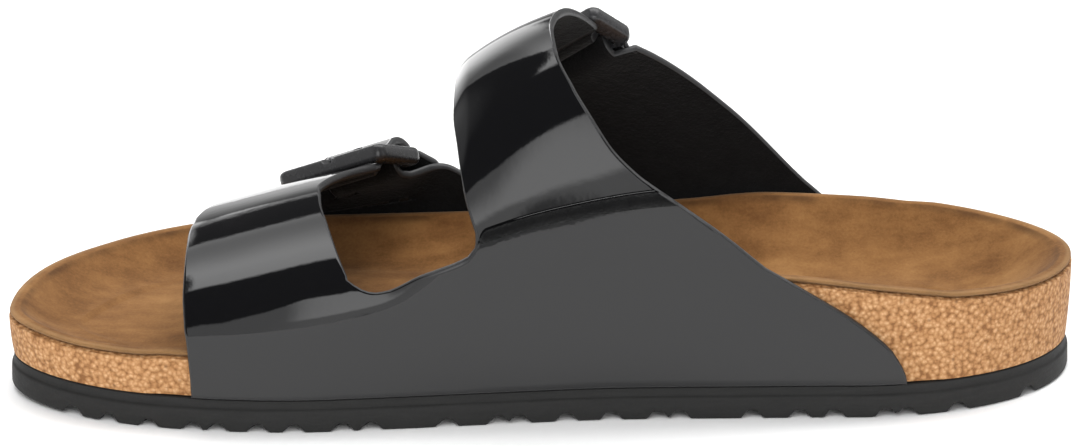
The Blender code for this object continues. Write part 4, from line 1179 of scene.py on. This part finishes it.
def cork():
    """Pressed cork: rounded grains, each painted paler in the middle and darker to its edge, a fine
    mottle and a few dark specks. The dark gaps between grains are the cork's own colour; the pale middles
    and the darkening towards each grain's edge are painted highlight and painted shade of a round grain.
    """
    material, start = new_material("pressed_cork")
    place = object_place(start)
    drift = noise(place, 300.0, output="Color")
    shift = place.node("ShaderNodeVectorMath", {"operation": "SCALE"}, {0: drift, "Scale": 0.0009})
    warped = place.node("ShaderNodeVectorMath", {"operation": "ADD"}, {0: place, 1: shift})
    grain = cells(warped, 860.0)
    mottle = noise(place, 900.0, detail=4.0, roughness=0.6)
    # Painted highlight and painted shade: each grain's colour runs from pale in its middle to dark at its
    # edge, as light falls on a round grain; the darkest gaps between grains are the cork's own colour.
    colour = ramp(0.5 * grain + 0.6 * mottle, (
        (0.32, (0.60, 0.36, 0.185)), (0.46, (0.49, 0.265, 0.12)),
        (0.58, (0.40, 0.20, 0.08)), (0.76, (0.23, 0.10, 0.035)),
    ))
    speck = cells(place, 210.0).step(0.0, 0.16)
    colour = blended(0.6 * (1 - speck), colour, (0.10, 0.045, 0.02, 1))
    pores = bump(noise(place, 1800.0, detail=3.0), 0.0001)
    return finish_material(material, start, {
        "Base Color": colour,
        "Roughness": 0.78,
        "Specular IOR Level": 0.3,
        "Normal": bump(1 - grain, 0.0005, strength=0.8, normal=pores),
    })


def foam_rubber():
    """Black moulded sole: matt, with fine streaks along the side."""
    material, start = new_material("sole_rubber")
    place = object_place(start)
    streak = noise(stretched(place, (0.12, 0.5, 1.0)), 900.0, detail=3.0, roughness=0.6)
    speck = noise(place, 1600.0, detail=3.0)
    return finish_material(material, start, {
        "Base Color": blended(streak, (0.007, 0.007, 0.0068, 1), (0.016, 0.016, 0.0155, 1)),
        "Roughness": 0.62 + 0.16 * speck,
        "Specular IOR Level": 0.4,
        "Normal": bump(0.7 * streak + 0.3 * speck, 0.00022, strength=0.7),
    })


def dark_metal(name, colour, roughness, metallic):
    """Satin dark buckle finish with faint wear."""
    material, start = new_material(name)
    place = object_place(start)
    wear = noise(place, 500.0, detail=4.0, roughness=0.6)
    worn = tuple(1.6 * part for part in colour)
    return finish_material(material, start, {
        "Base Color": blended(wear, (*colour, 1), (*worn, 1)),
        "Roughness": roughness + 0.1 * wear,
        "Metallic": metallic,
        "Normal": bump(wear, 0.00002),
    })


def make_floor():
    """A round plain floor: rings of points and a fan to their centre."""
    radius = FLOOR_RADIUS * shares(FLOOR_RINGS)[1:, None]
    angle = 2 * math.pi * np.arange(FLOOR_SPOKES) / FLOOR_SPOKES
    rings = np.stack([radius * np.cos(angle), radius * np.sin(angle), 0 * radius + 0 * angle], axis=-1)
    points = np.concatenate([rings.reshape(-1, 3), np.zeros((1, 3))])
    quads = grid_quads(FLOOR_RINGS, FLOOR_SPOKES, closed=True)[:, ::-1]
    spokes = np.arange(FLOOR_SPOKES)
    centre = np.full(FLOOR_SPOKES, len(points) - 1)
    fan = np.column_stack([spokes, np.roll(spokes, -1), centre, centre])
    material, start = new_material("studio_floor")
    place = object_place(start)
    finish_material(material, start, {
        "Base Color": blended(noise(place, 9.0), (0.93, 0.93, 0.93, 1), (0.95, 0.95, 0.95, 1)),
        "Roughness": 0.9,
    })
    floor = make_piece("studio_floor", points, np.concatenate([quads, fan]), [material])


def make_camera():
    camera = bpy.data.objects.new("camera", bpy.data.cameras.new("camera"))
    back = np.array([0.0, -math.cos(CAMERA_ELEVATION), math.sin(CAMERA_ELEVATION)])
    camera.location = (np.array(CAMERA_TARGET) + back * CAMERA_DISTANCE) * MM
    camera.rotation_euler = (math.pi / 2 - CAMERA_ELEVATION, 0.0, 0.0)
    camera.data.lens = CAMERA_LENS
    camera.data.sensor_width = SENSOR
    bpy.context.scene.collection.objects.link(camera)
    bpy.context.scene.camera = camera


def make_studio():
    """The studio round the object, as strength of light by direction.

    Limits are parts of a direction's unit vector: x to the heel, y to the far side, z up. The studio
    is dark between two side walls. Into it come a pale front wall below a brow, with a dark gap and a
    bright window to the right, a large soft box overhead and behind, a dark strip past the box, and a
    pale wall at the back.
    """
    world = bpy.data.worlds.new("studio")
    bpy.context.scene.world = world
    world.use_nodes = True
    world.node_tree.nodes.clear()
    start = Signal(world.node_tree)
    direction = start.node("ShaderNodeTexCoord", None, None, "Generated")
    axes = {
        name: start.node("ShaderNodeSeparateXYZ", None, {"Vector": direction}, name) for name in "XYZ"
    }
    x, y, z = axes["X"], axes["Y"], axes["Z"]
    dark = 0.06
    light = dark + 0.5 * x.step(0.55, 0.75) + 0.5 * (1 - x.step(-0.75, -0.55))

    brow = -0.77 - 0.55 * (-0.1 - x).largest(0.0)
    front = 1 - (y - brow).step(-0.02, 0.02)
    window_edge = x + 0.04 + 0.35 * (y + 0.96)
    window = window_edge.step(-0.1, 0.06) * z.step(0.1, 0.17) * (1 - x.step(0.4, 0.5))
    gap = x.step(0.115, 0.15) * z.step(-0.2, -0.06) * (1 - z.step(0.05, 0.12))
    wall = 1.15 + 0.3 * x.step(-0.2, 0.1)
    light = light.towards(wall - 0.95 * gap + 1.6 * window, front)

    left = x + 0.386 + 0.08 * (0.25 - y).largest(0.0) + 0.55 * (y - 0.4).largest(0.0)
    box = y.step(0.0, 0.07) * left.step(-0.014, 0.014) * (1 - x.step(0.6, 0.75))
    far = 1 - x.step(-0.46, -0.38)
    glow = 3.7 - 2.6 * y.step(0.3, 0.76)
    light = light.towards(glow * (1 - 0.4 * far) + 1.6 * y.step(0.74, 0.96), box)

    strip_edge = x + 0.3 - 0.52 * (y - 0.83)
    strip = y.step(0.785, 0.81) * (1 - y.step(0.925, 0.95)) * strip_edge.step(-0.015, 0.015)
    light = light.towards(dark, strip)
    back = y.step(0.925, 0.95) * (x + 0.215).step(-0.02, 0.02)
    light = light.towards(0.85 - 0.55 * z.step(-0.1, 0.22), back)

    seen = start.node("ShaderNodeLightPath", None, None, "Is Camera Ray")
    studio = start.node("ShaderNodeBackground", None, {"Color": (1, 1, 1, 1), "Strength": light})
    white = start.node("ShaderNodeBackground", None, {"Color": (1, 1, 1, 1), "Strength": 1.0})
    mixed = start.node("ShaderNodeMixShader", None, {0: seen, 1: studio, 2: white})
    start.node("ShaderNodeOutputWorld", None, {"Surface": mixed})


def add_lamp(lamp):
    """A soft area light that lights surfaces but doesn't show in gloss."""
    data = bpy.data.lights.new(lamp.name, "AREA")
    data.shape = "SQUARE"
    data.size = lamp.size
    data.energy = lamp.power
    light = bpy.data.objects.new(lamp.name, data)
    light.location = lamp.place
    aim = np.subtract(LAMP_TARGET, lamp.place)
    flat = math.hypot(aim[0], aim[1])
    light.rotation_euler = (math.atan2(flat, -aim[2]), 0.0, math.atan2(-aim[0], aim[1]))
    light.visible_glossy = False
    light.visible_camera = False
    bpy.context.scene.collection.objects.link(light)


def main():
    bpy.context.scene.view_settings.view_transform = "Standard"
    make_camera()
    make_studio()
    for lamp in LAMPS:
        add_lamp(lamp)
    make_floor()
    loop = SoleLoop()
    seats = {strap: BuckleSeat(buckle) for strap, buckle in BUCKLES.items()}
    rings, depths = bed_rings(loop)
    make_outsole(loop, foam_rubber())
    make_cork(loop, rings, cork())
    make_suede(loop, rings, depths, suede())
    leather = [patent_leather(), fleece_lining(), cut_edge()]
    make_leather_medial(seats, leather)
    make_leather_lateral(seats, leather)
    frame_metal = dark_metal("buckle_black", (0.02, 0.02, 0.021), roughness=0.22, metallic=0.0)
    prong_metal = dark_metal("prong_steel", (0.16, 0.16, 0.165), roughness=0.25, metallic=1.0)
    for strap, seat in seats.items():
        make_frame(f"{strap}_buckle", seat, frame_metal, f"buckle_{strap}_frame")
        make_prong(f"{strap}_prong", seat, prong_metal, f"buckle_{strap}_prong")


main()
